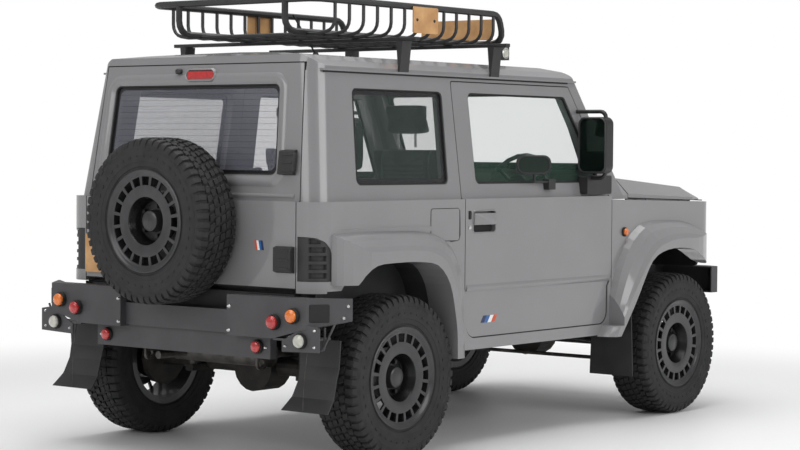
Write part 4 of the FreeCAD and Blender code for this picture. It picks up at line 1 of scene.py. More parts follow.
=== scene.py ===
from math import cos, exp, hypot, pi, radians, sin, sqrt, tan

import bmesh
import bpy
from mathutils import Matrix, Vector


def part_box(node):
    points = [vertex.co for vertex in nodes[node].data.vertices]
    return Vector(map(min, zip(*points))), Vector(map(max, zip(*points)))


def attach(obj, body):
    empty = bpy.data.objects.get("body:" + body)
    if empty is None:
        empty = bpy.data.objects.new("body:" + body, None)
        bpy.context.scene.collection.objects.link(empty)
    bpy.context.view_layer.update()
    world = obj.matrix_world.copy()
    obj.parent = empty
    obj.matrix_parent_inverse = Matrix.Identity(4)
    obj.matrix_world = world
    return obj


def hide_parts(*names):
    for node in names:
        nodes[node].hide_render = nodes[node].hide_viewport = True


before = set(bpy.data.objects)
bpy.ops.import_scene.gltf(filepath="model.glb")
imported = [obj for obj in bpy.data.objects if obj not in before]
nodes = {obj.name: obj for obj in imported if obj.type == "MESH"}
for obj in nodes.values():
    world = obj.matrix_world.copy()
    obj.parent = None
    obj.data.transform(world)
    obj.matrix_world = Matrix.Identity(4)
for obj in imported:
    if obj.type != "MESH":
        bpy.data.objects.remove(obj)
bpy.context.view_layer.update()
scene = bpy.context.scene


def feed(node, *ordered, **named):
    """Feeds a node's inputs, by order or by name, with values, sockets or other nodes."""
    for key, value in [*enumerate(ordered), *named.items()]:
        socket = node.inputs[key if isinstance(key, int) else key.replace("_", " ")]
        if isinstance(value, bpy.types.Node):
            value = value.outputs[0]
        if isinstance(value, bpy.types.NodeSocket):
            node.id_data.links.new(value, socket)
        else:
            socket.default_value = value
    return node


def finish(name, dark, pale, patch, rough, grain, depth, slot=None, **shader):
    """A finish that drifts from a dark to a pale shade in patches, over a fine grain."""
    made = bpy.data.materials.new(name)
    made.use_nodes = True
    new = made.node_tree.nodes.new
    place = new("ShaderNodeTexCoord").outputs["Object"]
    drift = feed(new("ShaderNodeTexNoise"), Vector=place, Scale=patch, Detail=5)
    shades = feed(new("ShaderNodeValToRGB"), Fac=drift)
    for stop, position, shade in zip(shades.color_ramp.elements, (0.35, 0.65), (dark, pale)):
        stop.position, stop.color = position, (*shade, 1)
    gloss = feed(new("ShaderNodeMapRange"), Value=drift, To_Min=rough[0], To_Max=rough[1])
    pores = feed(new("ShaderNodeTexNoise"), Vector=place, Scale=grain, Detail=3)
    relief = feed(new("ShaderNodeBump"), Distance=depth, Strength=0.6, Height=pores)
    feed(made.node_tree.nodes["Principled BSDF"], Base_Color=shades, Roughness=gloss,
         Normal=relief, **shader)
    return made


def wear(material, *names):
    """Gives the named solids one finish."""
    for name in names:
        nodes[name].data.materials.clear()
        nodes[name].data.materials.append(material)


powder_black = finish("powder_black", (0.012, 0.012, 0.013), (0.02, 0.02, 0.021), 6,
                      (0.38, 0.5), 700, 0.0006, "black_steel")
wear(powder_black, "ladder_frame", "fuel_tank")

# The driveline: engine and gearboxes in cast alloy, rigid axles and steering
# knuckles in cast iron, and the arms, track rod and exhaust in steel.
cast_alloy = finish("cast_alloy", (0.12, 0.12, 0.12), (0.2, 0.2, 0.2), 14, (0.45, 0.6), 260,
                    0.002, Metallic=0.7)
cast_iron = finish("cast_iron", (0.02, 0.019, 0.018), (0.05, 0.045, 0.04), 12, (0.5, 0.75),
                   320, 0.002, Metallic=0.4)
dull_steel = finish("dull_steel", (0.05, 0.048, 0.045), (0.14, 0.13, 0.12), 16, (0.35, 0.6),
                    400, 0.001, "bare_steel", Metallic=0.8)
wear(cast_alloy, "powertrain")
wear(cast_iron, "front_axle", "rear_axle", "knuckle_right", "knuckle_left")
wear(dull_steel, "suspension", "tie_rod", "exhaust", "tow_eyes")

# The wheels are pressed and machined in one piece: a wide lip, twenty slots round a flat
# face, and a deep black bowl in the middle with five nuts and a round cap. They carry
# tall tyres with lugs moulded in three rows to each side and over the shoulders.
rim_lacquer = finish("rim_lacquer", (0.026, 0.026, 0.028), (0.036, 0.036, 0.039), 20,
                     (0.3, 0.4), 900, 0.0002, "rim_paint", Metallic=0.25, Coat_Weight=0.25)
bowl_black = finish("bowl_black", (0.004, 0.004, 0.004), (0.007, 0.007, 0.007), 15, (0.2, 0.3),
                    700, 0.0002, "black_steel", Specular_IOR_Level=0.35)
tyre_rubber = finish("tyre_rubber", (0.008, 0.008, 0.0085), (0.021, 0.0205, 0.0205), 18,
                     (0.6, 0.85), 500, 0.0012)
pitches, slot_count, nut_circle = 56, 20, 0.0665


def linked(name, data):
    """A new object in the scene."""
    made = bpy.data.objects.new(name, data)
    scene.collection.objects.link(made)
    return made


def plain_mesh(name, worked):
    """Turns a worked bmesh into a mesh."""
    mesh = bpy.data.meshes.new(name)
    worked.to_mesh(mesh)
    worked.free()
    return mesh


def skinned(name, rings, closed=False):
    """A skin over rings of spots: the last joined to the first, or else both ends capped."""
    mesh = bmesh.new()
    rings = [[mesh.verts.new(spot) for spot in ring] for ring in rings]
    for ring, after in zip(rings, rings[1:] + (rings[:1] if closed else [])):
        for low in range(len(ring)):
            high = (low + 1) % len(ring)
            mesh.faces.new((ring[low], ring[high], after[high], after[low]))
    if not closed:
        mesh.faces.new(rings[0])
        mesh.faces.new(rings[-1])
    bmesh.ops.recalc_face_normals(mesh, faces=mesh.faces)
    return plain_mesh(name, mesh)


def swung(profile, angle):
    """A profile of (radius, y) points swung about the Y axis by an angle."""
    return [(r * sin(angle), y, r * cos(angle)) for r, y in profile]


def turned(name, profile, steps):
    """A closed ring turned about the Y axis from (radius, y) points."""
    return skinned(name, [swung(profile, 2 * pi * step / steps) for step in range(steps)], True)


def rim_sector():
    """One slot's share of the rim: a closed profile, open between the slot's four walls."""
    front = [(0.2185, -0.0985), (0.2155, -0.1), (0.208, -0.0985), (0.2, -0.0925),
             (0.194, -0.0885), (0.1885, -0.088), (0.152, -0.088), (0.108, -0.088),
             (0.1025, -0.0865), (0.0995, -0.082), (0.0885, -0.031), (0.0845, -0.0265),
             (0.048, -0.0262), (0.0468, -0.029), (0.0445, -0.06), (0.043, -0.0636),
             (0.0385, -0.066), (0.0365, -0.0655), (0.035, -0.0662), (0.0015, -0.067)]
    back = [(0.0015, -0.055), (0.0304, -0.054), (0.0304, -0.006), (0.102, -0.006),
            (0.114, -0.078), (0.152, -0.078), (0.1885, -0.078), (0.189, 0.097),
            (0.2185, 0.0995), (0.2195, 0.096), (0.204, 0.086), (0.2035, 0.03), (0.1935, 0.0),
            (0.2035, -0.03), (0.204, -0.086), (0.2195, -0.095)]
    profile = front + back
    outer, inner = 5, 6
    back_inner, back_outer = len(front) + 5, len(front) + 6
    half_slot = 0.74
    turns = [pi / slot_count * share for share in (-1, -half_slot, -0.4, 0, 0.4, half_slot, 1)]
    mesh = bmesh.new()
    rows = [[mesh.verts.new(spot) for spot in swung(profile, turn)] for turn in turns]
    for number, (row, after) in enumerate(zip(rows, rows[1:])):
        inside = 1 <= number <= 4
        for low in range(len(profile)):
            if inside and low in (outer, back_inner):
                continue
            high = (low + 1) % len(profile)
            mesh.faces.new((row[low], row[high], after[high], after[low]))
        if inside:
            for near, far in ((outer, back_outer), (inner, back_inner)):
                mesh.faces.new((row[near], after[near], after[far], row[far]))
    for row in (rows[1], rows[5]):
        mesh.faces.new((row[outer], row[inner], row[back_inner], row[back_outer]))
    return plain_mesh("rim", mesh)


def lug(stations):
    """A tread lug lofted along y from (y, top radius, foot radius, lead, half length)."""
    flare, crown, round_off = 0.0015, 0.002, 0.0015
    return skinned("lug", [
        [(lead - half - flare, y, foot), (lead + half + flare, y, foot),
         (lead + half, y, top - round_off), (lead + half - crown, y, top),
         (lead - half + crown, y, top), (lead - half, y, top - round_off)]
        for y, top, foot, lead, half in stations])


def calculated(tree, operation, *values):
    """A node in the tree that works out one sum."""
    made = tree.nodes.new("ShaderNodeMath")
    made.operation = operation
    return feed(made, *values)


def tree_with(name, *inputs):
    """A tree with its named inputs, and their sockets inside it."""
    tree = bpy.data.node_groups.new(name, "GeometryNodeTree")
    for label, kind in (("Geometry", "Geometry"), *inputs, ("Finish", "Material")):
        tree.interface.new_socket(label, in_out="INPUT", socket_type="NodeSocket" + kind)
    tree.interface.new_socket("Geometry", in_out="OUTPUT", socket_type="NodeSocketGeometry")
    return tree, tree.nodes.new("NodeGroupInput").outputs


def ended(tree, spread, given):
    """The tree, ended: its instances are made real and take the finish."""
    new = tree.nodes.new
    real = feed(new("GeometryNodeRealizeInstances"), Geometry=spread)
    painted = feed(new("GeometryNodeSetMaterial"), Geometry=real, Material=given["Finish"])
    feed(new("NodeGroupOutput"), Geometry=painted)
    return tree


def round_tree():
    """A tree that repeats its geometry round the Y axis."""
    tree, given = tree_with("repeat_round_axle", ("Count", "Int"), ("Start angle", "Float"))
    new = tree.nodes.new
    spots = feed(new("GeometryNodeMeshLine"), Count=given["Count"], Offset=(0, 0, 0))
    step = calculated(tree, "DIVIDE", 2 * pi, given["Count"])
    angle = calculated(tree, "MULTIPLY_ADD", new("GeometryNodeInputIndex"), step,
                       given["Start angle"])
    spread = feed(new("GeometryNodeInstanceOnPoints"), Points=spots,
                  Instance=given["Geometry"], Rotation=feed(new("ShaderNodeCombineXYZ"), Y=angle))
    return ended(tree, spread, given)


def evaluated_mesh(holder):
    """The plain mesh that an object's modifiers make."""
    bpy.context.view_layer.update()
    return bpy.data.meshes.new_from_object(
        holder.evaluated_get(bpy.context.evaluated_depsgraph_get()))


def grown(start, tree, **values):
    """Runs a tree on a mesh and hands back the plain mesh that it makes."""
    seed = linked("seed", start)
    worker = seed.modifiers.new("grow", "NODES")
    worker.node_group = tree
    for item in tree.interface.items_tree:
        if item.in_out == "INPUT" and item.name.replace(" ", "_") in values:
            worker[item.identifier] = values[item.name.replace(" ", "_")]
    mesh = evaluated_mesh(seed)
    bpy.data.objects.remove(seed)
    return mesh


def piece(name, mesh, material, body="vehicle", smooth=0):
    """Makes a mesh a piece of the object, with its finish, riding on a body."""
    made = linked(name, mesh)
    mesh.materials.clear()
    mesh.materials.append(material)
    for face in mesh.polygons:
        face.material_index = 0
    if smooth:
        mesh.shade_smooth()
        mesh.set_sharp_from_angle(angle=radians(smooth))
    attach(made, body)
    return made


def placed(mesh, spot, turn=0.0):
    """A copy of a mesh, turned about the Z axis and moved to a spot."""
    copy = mesh.copy()
    copy.transform(Matrix.Translation(spot) @ Matrix.Rotation(turn, 4, "Z"))
    return copy


def gathered(name, *parts):
    """One mesh holding all the given ones."""
    whole = bmesh.new()
    for part in parts:
        whole.from_mesh(part)
    return plain_mesh(name, whole)


def merged(mesh, seam=0.00001):
    """Closes the seams between repeats and turns every face outwards."""
    whole = bmesh.new()
    whole.from_mesh(mesh)
    bmesh.ops.remove_doubles(whole, verts=whole.verts, dist=seam)
    bmesh.ops.recalc_face_normals(whole, faces=whole.faces)
    return plain_mesh(mesh.name, whole)


around = round_tree()
rim = merged(grown(rim_sector(), around, Count=slot_count, Start_angle=0.0,
                   Finish=rim_lacquer))
bowl_wall = [(0.1021, -0.0871), (0.0991, -0.0823), (0.0881, -0.0313), (0.0843, -0.0269),
             (0.0482, -0.0266), (0.0482, -0.0272), (0.0839, -0.0275), (0.0875, -0.0317),
             (0.0985, -0.0826), (0.1017, -0.0875)]
bowl = turned("bowl", bowl_wall, 80)
nut = bmesh.new()
for corners, foot, top, height, y in ((6, 0.0105, 0.0105, 0.012, -0.033),
                                      (12, 0.0055, 0.0085, 0.006, -0.042)):
    bmesh.ops.create_cone(nut, cap_ends=True, segments=corners, radius1=foot, radius2=top,
                          depth=height, matrix=Matrix.Translation((0, y, nut_circle))
                          @ Matrix.Rotation(pi / 2, 4, "X"))
nuts = grown(plain_mesh("nut", nut), around, Count=5, Start_angle=0.3, Finish=bowl_black)
side_ribs = []
for level, y, count, length in ((0.2745, -0.105, 42, 0.014), (0.303, -0.106, 28, 0.026)):
    rib = bmesh.new()
    bmesh.ops.create_cube(rib, size=1, matrix=Matrix.Translation((0, y, level))
                          @ Matrix.Diagonal((length, 0.006, 0.007, 1)))
    side_ribs.append(grown(plain_mesh("side_rib", rib), around, Count=count,
                           Start_angle=0.1 * count, Finish=tyre_rubber))
carcass_side = [(0.209, 0.088), (0.216, 0.094), (0.228, 0.094), (0.232, 0.099), (0.25, 0.1025),
                (0.252, 0.1045), (0.262, 0.1055), (0.29, 0.107), (0.296, 0.1085), (0.316, 0.1075),
                (0.33, 0.101), (0.341, 0.091), (0.3445, 0.06), (0.3455, 0.02)]
carcass = turned("carcass", [(r, -y) for r, y in carcass_side]
                 + [(r, y) for r, y in reversed(carcass_side)], 96)
shoulder_long = [(0.066, 0.3525, 0.343, 0.0, 0.0115), (0.09, 0.3495, 0.341, 0.002, 0.012),
                 (0.101, 0.344, 0.329, 0.003, 0.0125), (0.1085, 0.328, 0.316, 0.004, 0.0125),
                 (0.109, 0.309, 0.309, 0.004, 0.009)]
shoulder_short = [(0.07, 0.3523, 0.343, 0.0, 0.011), (0.09, 0.3493, 0.341, 0.001, 0.0115),
                  (0.102, 0.342, 0.327, 0.002, 0.012), (0.107, 0.331, 0.32, 0.003, 0.011)]
middle = [(0.006, 0.3531, 0.344, 0.004, 0.0125), (0.026, 0.353, 0.344, -0.004, 0.014),
          (0.031, 0.353, 0.344, -0.006, 0.009)]
outer_middle = [(0.035, 0.3532, 0.344, 0.006, 0.0115), (0.048, 0.353, 0.344, 0.0, 0.0145),
                (0.062, 0.3527, 0.344, -0.005, 0.0115)]
half_pitch = pi / pitches
rows = []
for side, shift in ((1, 0.0), (-1, half_pitch / 2)):
    for stations, count, start in ((shoulder_long, pitches // 2, 0.0),
                                   (shoulder_short, pitches // 2, 2 * half_pitch),
                                   (middle, pitches, half_pitch),
                                   (outer_middle, pitches, 0.3 * half_pitch)):
        on_this_side = [(side * y, top, foot, lead * side, half)
                        for y, top, foot, lead, half in stations]
        rows.append(grown(lug(on_this_side), around, Count=count, Start_angle=start + shift,
                          Finish=tyre_rubber))
tyre = gathered("tyre", carcass, *rows, *side_ribs,
                *[placed(ribs, (0, 0, 0), pi) for ribs in side_ribs])
wheels = [(corner, "rim_" + corner, "tyre_" + corner, "wheel_" + corner, turn)
          for corner, turn in (("front_right", 0.0), ("front_left", pi),
                               ("rear_right", 0.0), ("rear_left", pi))]
wheels.append(("spare", "spare_rim", "spare_tyre", "tailgate", -pi / 2))
for tag, rim_node, tyre_node, body, turn in wheels:
    low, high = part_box(tyre_node)
    for name, shape, material, smooth, node in (
            ("treaded_tyre_", tyre, tyre_rubber, 28, tyre_node),
            ("slotted_rim_", rim, rim_lacquer, 35, rim_node),
            ("rim_bowl_", bowl, bowl_black, 40, None),
            ("wheel_nuts_", nuts, bowl_black, 30, None)):
        made = piece(name + tag, placed(shape, (low + high) / 2, turn), material, body, smooth)
        if node:
            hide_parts(node)

# The body is a steel shell, pressed and spot welded, and sprayed a plain mid grey with a
# clear coat. Black rubber seals line its openings, a gutter runs along the roof, and a
# filler flap is let into the right side. A black strip along the flap's front edge and the
# front of its lower edge is painted shadow.
grey_paint = finish("grey_paint", (0.188, 0.186, 0.192), (0.2, 0.198, 0.204), 3, (0.34, 0.4),
                    1400, 0.00003, "body_paint", Coat_Weight=0.8, Coat_Roughness=0.06)
seal_rubber = finish("seal_rubber", (0.006, 0.006, 0.006), (0.011, 0.011, 0.011), 10,
                     (0.6, 0.8), 600, 0.0004, "black_plastic")
wear(grey_paint, "side_panel_right", "side_panel_left", "roof_panel", "windscreen_frame",
     "cowl_panel", "front_fenders", "arch_flares", "bonnet", "door_right", "door_left",
     "tailgate")
body_half, waist_half, belt, side_lean = 0.735, 0.712, 1.103, 0.13284
tail_end, tail_step, tail_slope = -1.545, 0.025, 0.11867
roof_fold, roof_top, roof_fall = 0.2, 1.7202, 0.1065
crease_start, crease_end, crease_sunk = -1.44, -0.745, 0.001
tail_fade, door_fade = 0.3, 0.12


def on_side(x, z, depth):
    """A spot on the right side of the body, some depth under its skin."""
    half = body_half if z <= belt else waist_half - (z - belt) * side_lean
    return x, depth - half, z


def on_tail(y, z, depth):
    """A spot on the back of the body, some depth under its skin."""
    level = tail_end if z <= belt else tail_end + tail_step + (z - belt) * tail_slope
    return level + depth, y, z


def on_roof_front(x, y, depth):
    """A spot on the roof's sloping front part, some depth under its skin."""
    return x, y, roof_top - roof_fall * (x - roof_fold) - depth


def on_crease(x, z, depth):
    """A spot on the crease, which sinks into the skin towards both of its ends."""
    share = max(0.0, min(1.0, (x - crease_start) / tail_fade, (crease_end - x) / door_fade))
    return on_side(x, z, crease_sunk + (depth - crease_sunk) * share)


def rounded(outline, radii, steps=6):
    """A closed outline with rounded corners."""
    line = []
    spots = [Vector(corner) for corner in outline]
    for index, spot in enumerate(spots):
        radius = radii[index] if isinstance(radii, list) else radii
        before = (spots[index - 1] - spot).normalized()
        after = (spots[(index + 1) % len(spots)] - spot).normalized()
        half = before.angle(after) / 2
        middle = spot + (before + after).normalized() * radius / sin(half)
        start = (spot + before * radius / tan(half) - middle).normalized()
        end = (spot + after * radius / tan(half) - middle).normalized()
        for step in range(steps + 1):
            line.append(middle + start.lerp(end, step / steps).normalized() * radius)
    return line


def rounded_box(left, right, low, high, radius):
    """A rectangle's outline with rounded corners."""
    return rounded([(left, low), (right, low), (right, high), (left, high)], radius)


def crossing(line, level, apart=0.004):
    """The same closed line with two points, each that far off, where it crosses a level."""
    full = []
    for spot, after in zip(line, line[1:] + line[:1]):
        full.append(spot)
        if (spot[1] - level) * (after[1] - level) < 0:
            share = (level - spot[1]) / (after[1] - spot[1])
            for nudge in (-apart, apart):
                full.append(spot.lerp(after, share + nudge / (after - spot).length))
    return full


def strip(line, section, place, closed=True):
    """A strip along a line on the body; its section is (across, depth) points."""
    rings = []
    last = len(line) - 1
    for index, spot in enumerate(line):
        if closed:
            before, after = line[index - 1], line[(index + 1) % len(line)]
        else:
            before, after = line[max(index - 1, 0)], line[min(index + 1, last)]
        along = (Vector(after) - Vector(before)).normalized()
        across = Vector((along.y, -along.x))
        rings.append([place(*(Vector(spot) + across * a), depth) for a, depth in section])
    return skinned("strip", rings, closed)


def oblong(half, near, far):
    """A flat section: half its width, and the depths of its two faces."""
    return [(-half, near), (half, near), (half, far), (-half, far)]


def plate(outline, near, far, place, rim=0.0):
    """A plate with a closed outline lying on the body, its outer edge bevelled by the rim."""
    line = [Vector(spot) for spot in outline]
    middle = sum(line, Vector((0, 0))) / len(line)
    return skinned("plate", [
        [place(*(spot + (middle - spot).normalized() * shrink), depth) for spot in line]
        for shrink, depth in ((0, far), (0, near + rim), (rim, near))])


def mirrored(mesh):
    """The same piece for the left side."""
    copy = mesh.copy()
    copy.transform(Matrix.Scale(-1, 4, (0, 1, 0)))
    copy.flip_normals()
    return copy


def pair(name, mesh, material, bodies=("vehicle", "vehicle"), smooth=0):
    """A piece for the right side and its mirror image for the left."""
    left = mirrored(mesh)
    return [piece(name + "_right", mesh, material, bodies[0], smooth),
            piece(name + "_left", left, material, bodies[1], smooth)]


gutter_line = [(-1.405 + 0.1 * step, 1.6415) for step in range(19)]
pair("gutter_seal", strip(gutter_line, oblong(0.0032, -0.0032, 0.001), on_side, closed=False),
     seal_rubber)
piece("roof_front_skin", plate(rounded_box(0.235, 0.396, -0.48, 0.48, 0.02), -0.0006, 0.0025,
                               on_roof_front, 0.0006), grey_paint, smooth=40)
flap_line = rounded([(-0.788, 0.925), (-0.646, 0.922), (-0.585, 0.922), (-0.585, 1.062),
                     (-0.788, 1.062)], [0.02, 0.004, 0.012, 0.012, 0.012])
piece("filler_flap", plate(flap_line, -0.0022, 0.0005, on_side, 0.001), grey_paint, smooth=30)
piece("filler_seam", strip(flap_line, oblong(0.0028, -0.0008, 0.0006), on_side), seal_rubber)
# Painted shadow: a wider black strip along the flap's front edge and the front of its lower edge,
# where the flap stands off the side.
finger_shadow_line = [(-0.5835, 1.055), (-0.5805, 1.0), (-0.5795, 0.945), (-0.586, 0.927),
               (-0.62, 0.922), (-0.648, 0.921)]
piece("filler_finger_edge", strip(finger_shadow_line, oblong(0.0048, -0.0012, 0.0006), on_side,
                                  closed=False), seal_rubber)
crease_line = [(crease_start + 0.04 * step, 0.978 + 0.0018 * sin(step / 6))
               for step in range(17)] + [(-0.77, 0.973), (crease_end, 0.968)]
crease_section = [(-0.013, 0.001), (-0.011, -0.0065), (-0.004, -0.0085), (0.018, 0.001)]
pair("shoulder_crease", strip(crease_line, crease_section, on_crease, closed=False), grey_paint,
     smooth=60)

# The doors hang in black rubber seals. Each has a pressed handle cup with a pull bar, a
# button and a round lock behind it, and a small tricolour flash low down at the back.
bright_metal = finish("bright_metal", (0.5, 0.5, 0.5), (0.62, 0.62, 0.62), 30, (0.18, 0.28),
                      900, 0.0002, "bare_steel", Metallic=0.9)
doors = ("door_right", "door_left")
door_line = rounded([(-0.52, 0.4835), (0.6225, 0.4835), (0.6225, 0.665), (0.6575, 0.7175),
                     (0.6575, 1.198), (0.402, 1.6245), (-0.5375, 1.6245), (-0.5375, 0.7)],
                    [0.0625, 0.0625] + 6 * [0.014])
pair("door_seal", strip(crossing(door_line, belt), oblong(0.0022, 0.0035, 0.02), on_side),
     seal_rubber)
lip_section = [(-0.0035, 0.0005), (-0.002, -0.0022), (0.0015, -0.003), (0.0045, 0.0005)]
pair("handle_lip", strip(rounded_box(-0.4815, -0.3085, 0.9515, 1.0495, 0.014), lip_section,
                         on_side), grey_paint, doors, 40)
grip_back, grip_front = -0.4785, -0.3115
pair("handle_grip", plate(rounded_box(grip_back, grip_front, 0.9875, 1.0385, 0.008), -0.0115,
                          -0.006, on_side, 0.003), grey_paint, doors, 50)
pair("handle_shadow", plate(rounded_box(grip_back, grip_front, 0.9545, 0.9855, 0.012), 0.0188,
                            0.0199, on_side), seal_rubber, doors)
pair("door_button", plate(rounded_box(-0.514, -0.497, 1.012, 1.05, 0.004), -0.0045, 0.0005,
                          on_side, 0.0015), seal_rubber, doors, 40)
pinhole, sunk, foot_half = 0.0004, 0.001, 0.73


def round_boss(radius, height, spot, turn):
    """A small round boss with a bevelled edge, turned and put in its place."""
    profile = [(pinhole, sunk), (radius, sunk), (radius, -height * 0.6),
               (radius * 0.8, -height), (pinhole, -height)]
    return placed(turned("boss", profile, 24), spot, turn)


def on_door_foot(x, z, depth):
    """A spot on the door's stepped foot."""
    return x, depth - foot_half, z


def stripe(start, number, width, low, high, lean, place):
    """One leaning stripe of a flash."""
    left = start + width * number
    return plate([(left, low), (left + width, low), (left + width + lean, high),
                  (left + lean, high)], -0.0006, 0.0002, place)


pair("door_lock", round_boss(0.0095, 0.005, (-0.5055, -0.735, 0.975), 0.0), bright_metal,
     doors, 30)
swage_line = [(-0.525 + 0.0835 * step, 0.7015) for step in range(15)]
swage_section = [(0.014, 0.0058), (0.004, -0.002), (-0.003, -0.0042), (-0.02, 0.0004)]
pair("door_swage", strip(swage_line, swage_section, on_side, closed=False), grey_paint, doors, 60)
for number, (shade, dark, pale) in enumerate((
        ("flash_navy", (0.01, 0.02, 0.08), (0.014, 0.03, 0.1)),
        ("flash_blue", (0.02, 0.1, 0.3), (0.025, 0.12, 0.34)),
        ("flash_white", (0.75, 0.75, 0.75), (0.8, 0.8, 0.8)),
        ("flash_red", (0.55, 0.07, 0.025), (0.62, 0.09, 0.03)))):
    coat = finish(shade, dark, pale, 60, (0.3, 0.4), 900, 0.0001, "body_paint")
    pair(shade, stripe(-0.412, number, 0.0265, 0.545, 0.577, 0.022, on_door_foot), coat, doors)
    piece(shade + "_tail", stripe(-0.444, number, 0.0115, 0.898, 0.938, 0.008, on_tail), coat,
          "tailgate")

# The side-hinged tailgate has a pressed frame round its window, two ribbed hinge covers
# at the right edge, a small camera beside the brake lamp and a bare plate with two screws.
black_plastic = finish("black_plastic", (0.014, 0.014, 0.015), (0.022, 0.022, 0.023), 9,
                       (0.42, 0.55), 1100, 0.0006)
wear(black_plastic, "corner_louvres", "tailgate_fittings")
gate_line = rounded([(-0.6185, 0.7435), (0.6185, 0.7435), (0.6185, 1.103), (0.5785, 1.6785),
                     (-0.5785, 1.6785), (-0.6185, 1.103)], 2 * [0.002] + 4 * [0.01])
piece("tailgate_seal", strip(crossing(gate_line, belt), oblong(0.0021, 0.0035, 0.02), on_tail),
      seal_rubber)
tail_window = [(-0.475, 1.21), (0.535, 1.21), (0.514, 1.59), (-0.454, 1.59)]
frame_section = [(0.05, 0.0008), (0.042, -0.005), (0.03, -0.0075), (0.018, -0.0065),
                 (0.005, 0.0004), (0.006, 0.002)]
piece("window_frame", strip(rounded(tail_window, 0.03, 10), frame_section, on_tail), grey_paint,
      "tailgate", 50)
swage_line = [(-0.585 + 0.045 * step, 1.1235) for step in range(27)]
swage_section = [(-0.01, 0.0006), (-0.004, -0.004), (0.003, -0.0045), (0.009, 0.0006)]
piece("tailgate_swage", strip(swage_line, swage_section, on_tail, closed=False), grey_paint,
      "tailgate", 50)


def hinge_ribs(centre, low, high):
    """The knuckle and ribs moulded on one hinge cover."""
    face = -0.0198
    ribs = [plate(rounded_box(centre - 0.036, centre + 0.026, level - 0.004, level + 0.004,
                              0.003), face - 0.0035, face + 0.001, on_tail, 0.0015)
            for level in (low + 0.012, (low + high) / 2, high - 0.012)]
    knuckle = plate(rounded_box(centre - 0.049, centre - 0.039, low + 0.006, high - 0.006, 0.004),
                    face - 0.006, face + 0.012, on_tail, 0.003)
    return gathered("hinge_ribs", *ribs, knuckle)


piece("hinge_ribs_low", hinge_ribs(-0.561, 0.814, 0.912), black_plastic, "tailgate", 40)
piece("hinge_ribs_high", hinge_ribs(-0.539, 1.217, 1.309), black_plastic, "tailgate", 40)
lamp_section = [(0.0075, 0.0005), (0.0065, -0.008), (0.002, -0.0125), (-0.002, -0.0115),
                (-0.002, 0.0005)]
piece("brake_lamp_bezel", strip(rounded_box(-0.083, 0.083, 1.6095, 1.6565, 0.0235),
                                lamp_section, on_tail), grey_paint, "tailgate", 50)
piece("parking_camera", plate(rounded_box(0.115, 0.147, 1.639, 1.661, 0.009), -0.018, 0.0005,
                              on_tail, 0.005), black_plastic, "tailgate", 50)
screws = [round_boss(0.009, 0.004, (-1.557, y, 0.905), -pi / 2) for y in (0.568, 0.322)]
piece("plate_screws", gathered("plate_screws", *screws), bright_metal, "tailgate", 30)

# The glass is toughened: a green cast in front and at the doors, a privacy tint at the
# back. Each pane has a black printed border and sits in a black rubber moulding.
pane_depth, print_depth, moulding_depth = 0.0138, 0.0133, 0.0055


def glass(name, colour, alpha):
    """Thin glass that shows what lies behind it through its tint."""
    return finish(name, colour, [1.1 * part for part in colour], 2, (0.02, 0.03), 4, 0.0001,
                  "tinted_glass", Alpha=alpha, Specular_IOR_Level=0.6)


def shrunk(outline, amount):
    """A straight-sided outline moved inwards by an amount."""
    line = []
    spots = [Vector(corner) for corner in outline]
    for index, spot in enumerate(spots):
        into = (spots[index - 1] - spot).normalized()
        out = (spots[(index + 1) % len(spots)] - spot).normalized()
        line.append(spot + (into + out) * amount / sin(into.angle(out)))
    return line


def edging(outline, half, radius, near, place):
    """A band down to the pane's depth, along the inside of a window's outline."""
    return strip(rounded(shrunk(outline, half), radius), oblong(half, near, pane_depth), place)


wear(glass("clear_glass", (0.12, 0.235, 0.175), 0.09), "fixed_glass", "door_glass_right",
     "door_glass_left")
wear(glass("tinted_glass", (0.2, 0.205, 0.245), 0.31), "tailgate_glass")
pane_black = finish("pane_black", (0.012, 0.012, 0.014), (0.018, 0.018, 0.02), 12, (0.15, 0.25),
                    900, 0.0002, "tinted_glass")
quarter_window = [(-1.26, 1.168), (-0.622, 1.168), (-0.608, 1.576), (-1.232, 1.576)]
for name, outline, bodies, mould, border in (
        ("door_window", [(-0.4195, 1.168), (0.6, 1.168), (0.357, 1.576), (-0.4195, 1.576)],
         doors, 0.0045, 0.0045),
        ("quarter_window", quarter_window, ("vehicle", "vehicle"), 0.003, 0.013)):
    pair(name + "_moulding", edging(outline, mould, 0.026, moulding_depth, on_side),
         seal_rubber, bodies)
    pair(name + "_border", edging(outline, border, 0.03, print_depth, on_side), pane_black,
         bodies)
pair("quarter_film", plate(rounded(shrunk(quarter_window, 0.001), 0.027), 0.0128, 0.0131, on_side),
     glass("privacy_film", (0.05, 0.05, 0.055), 0.16))
piece("tail_window_moulding", edging(tail_window, 0.003, 0.026, moulding_depth, on_tail),
      seal_rubber, "tailgate")
piece("tail_window_border", edging(tail_window, 0.009, 0.04, print_depth, on_tail),
      pane_black, "tailgate")
wires = [strip([(-0.44, level), (0.0, level + 0.001), (0.49, level)],
               oblong(0.0004, 0.0134, pane_depth), on_tail, closed=False)
         for level in (1.245 + 0.0255 * step for step in range(13))]
piece("window_heater", gathered("window_heater", *wires), pane_black, "tailgate")
screen = [(-0.585, 1.227), (0.585, 1.227), (0.53, 1.6175), (-0.53, 1.6175)]
screen_base, screen_foot, screen_slope = 0.77, 1.15, 0.60606


def on_screen(y, z, depth):
    """A spot on the windscreen's slope, some depth under the skin."""
    run = screen_base - (z - screen_foot) * screen_slope - depth * hypot(1, screen_slope)
    return run, y, z


piece("windscreen_moulding", edging(screen, 0.004, 0.026, moulding_depth, on_screen),
      seal_rubber)
piece("windscreen_border", edging(screen, 0.016, 0.04, print_depth, on_screen), pane_black)

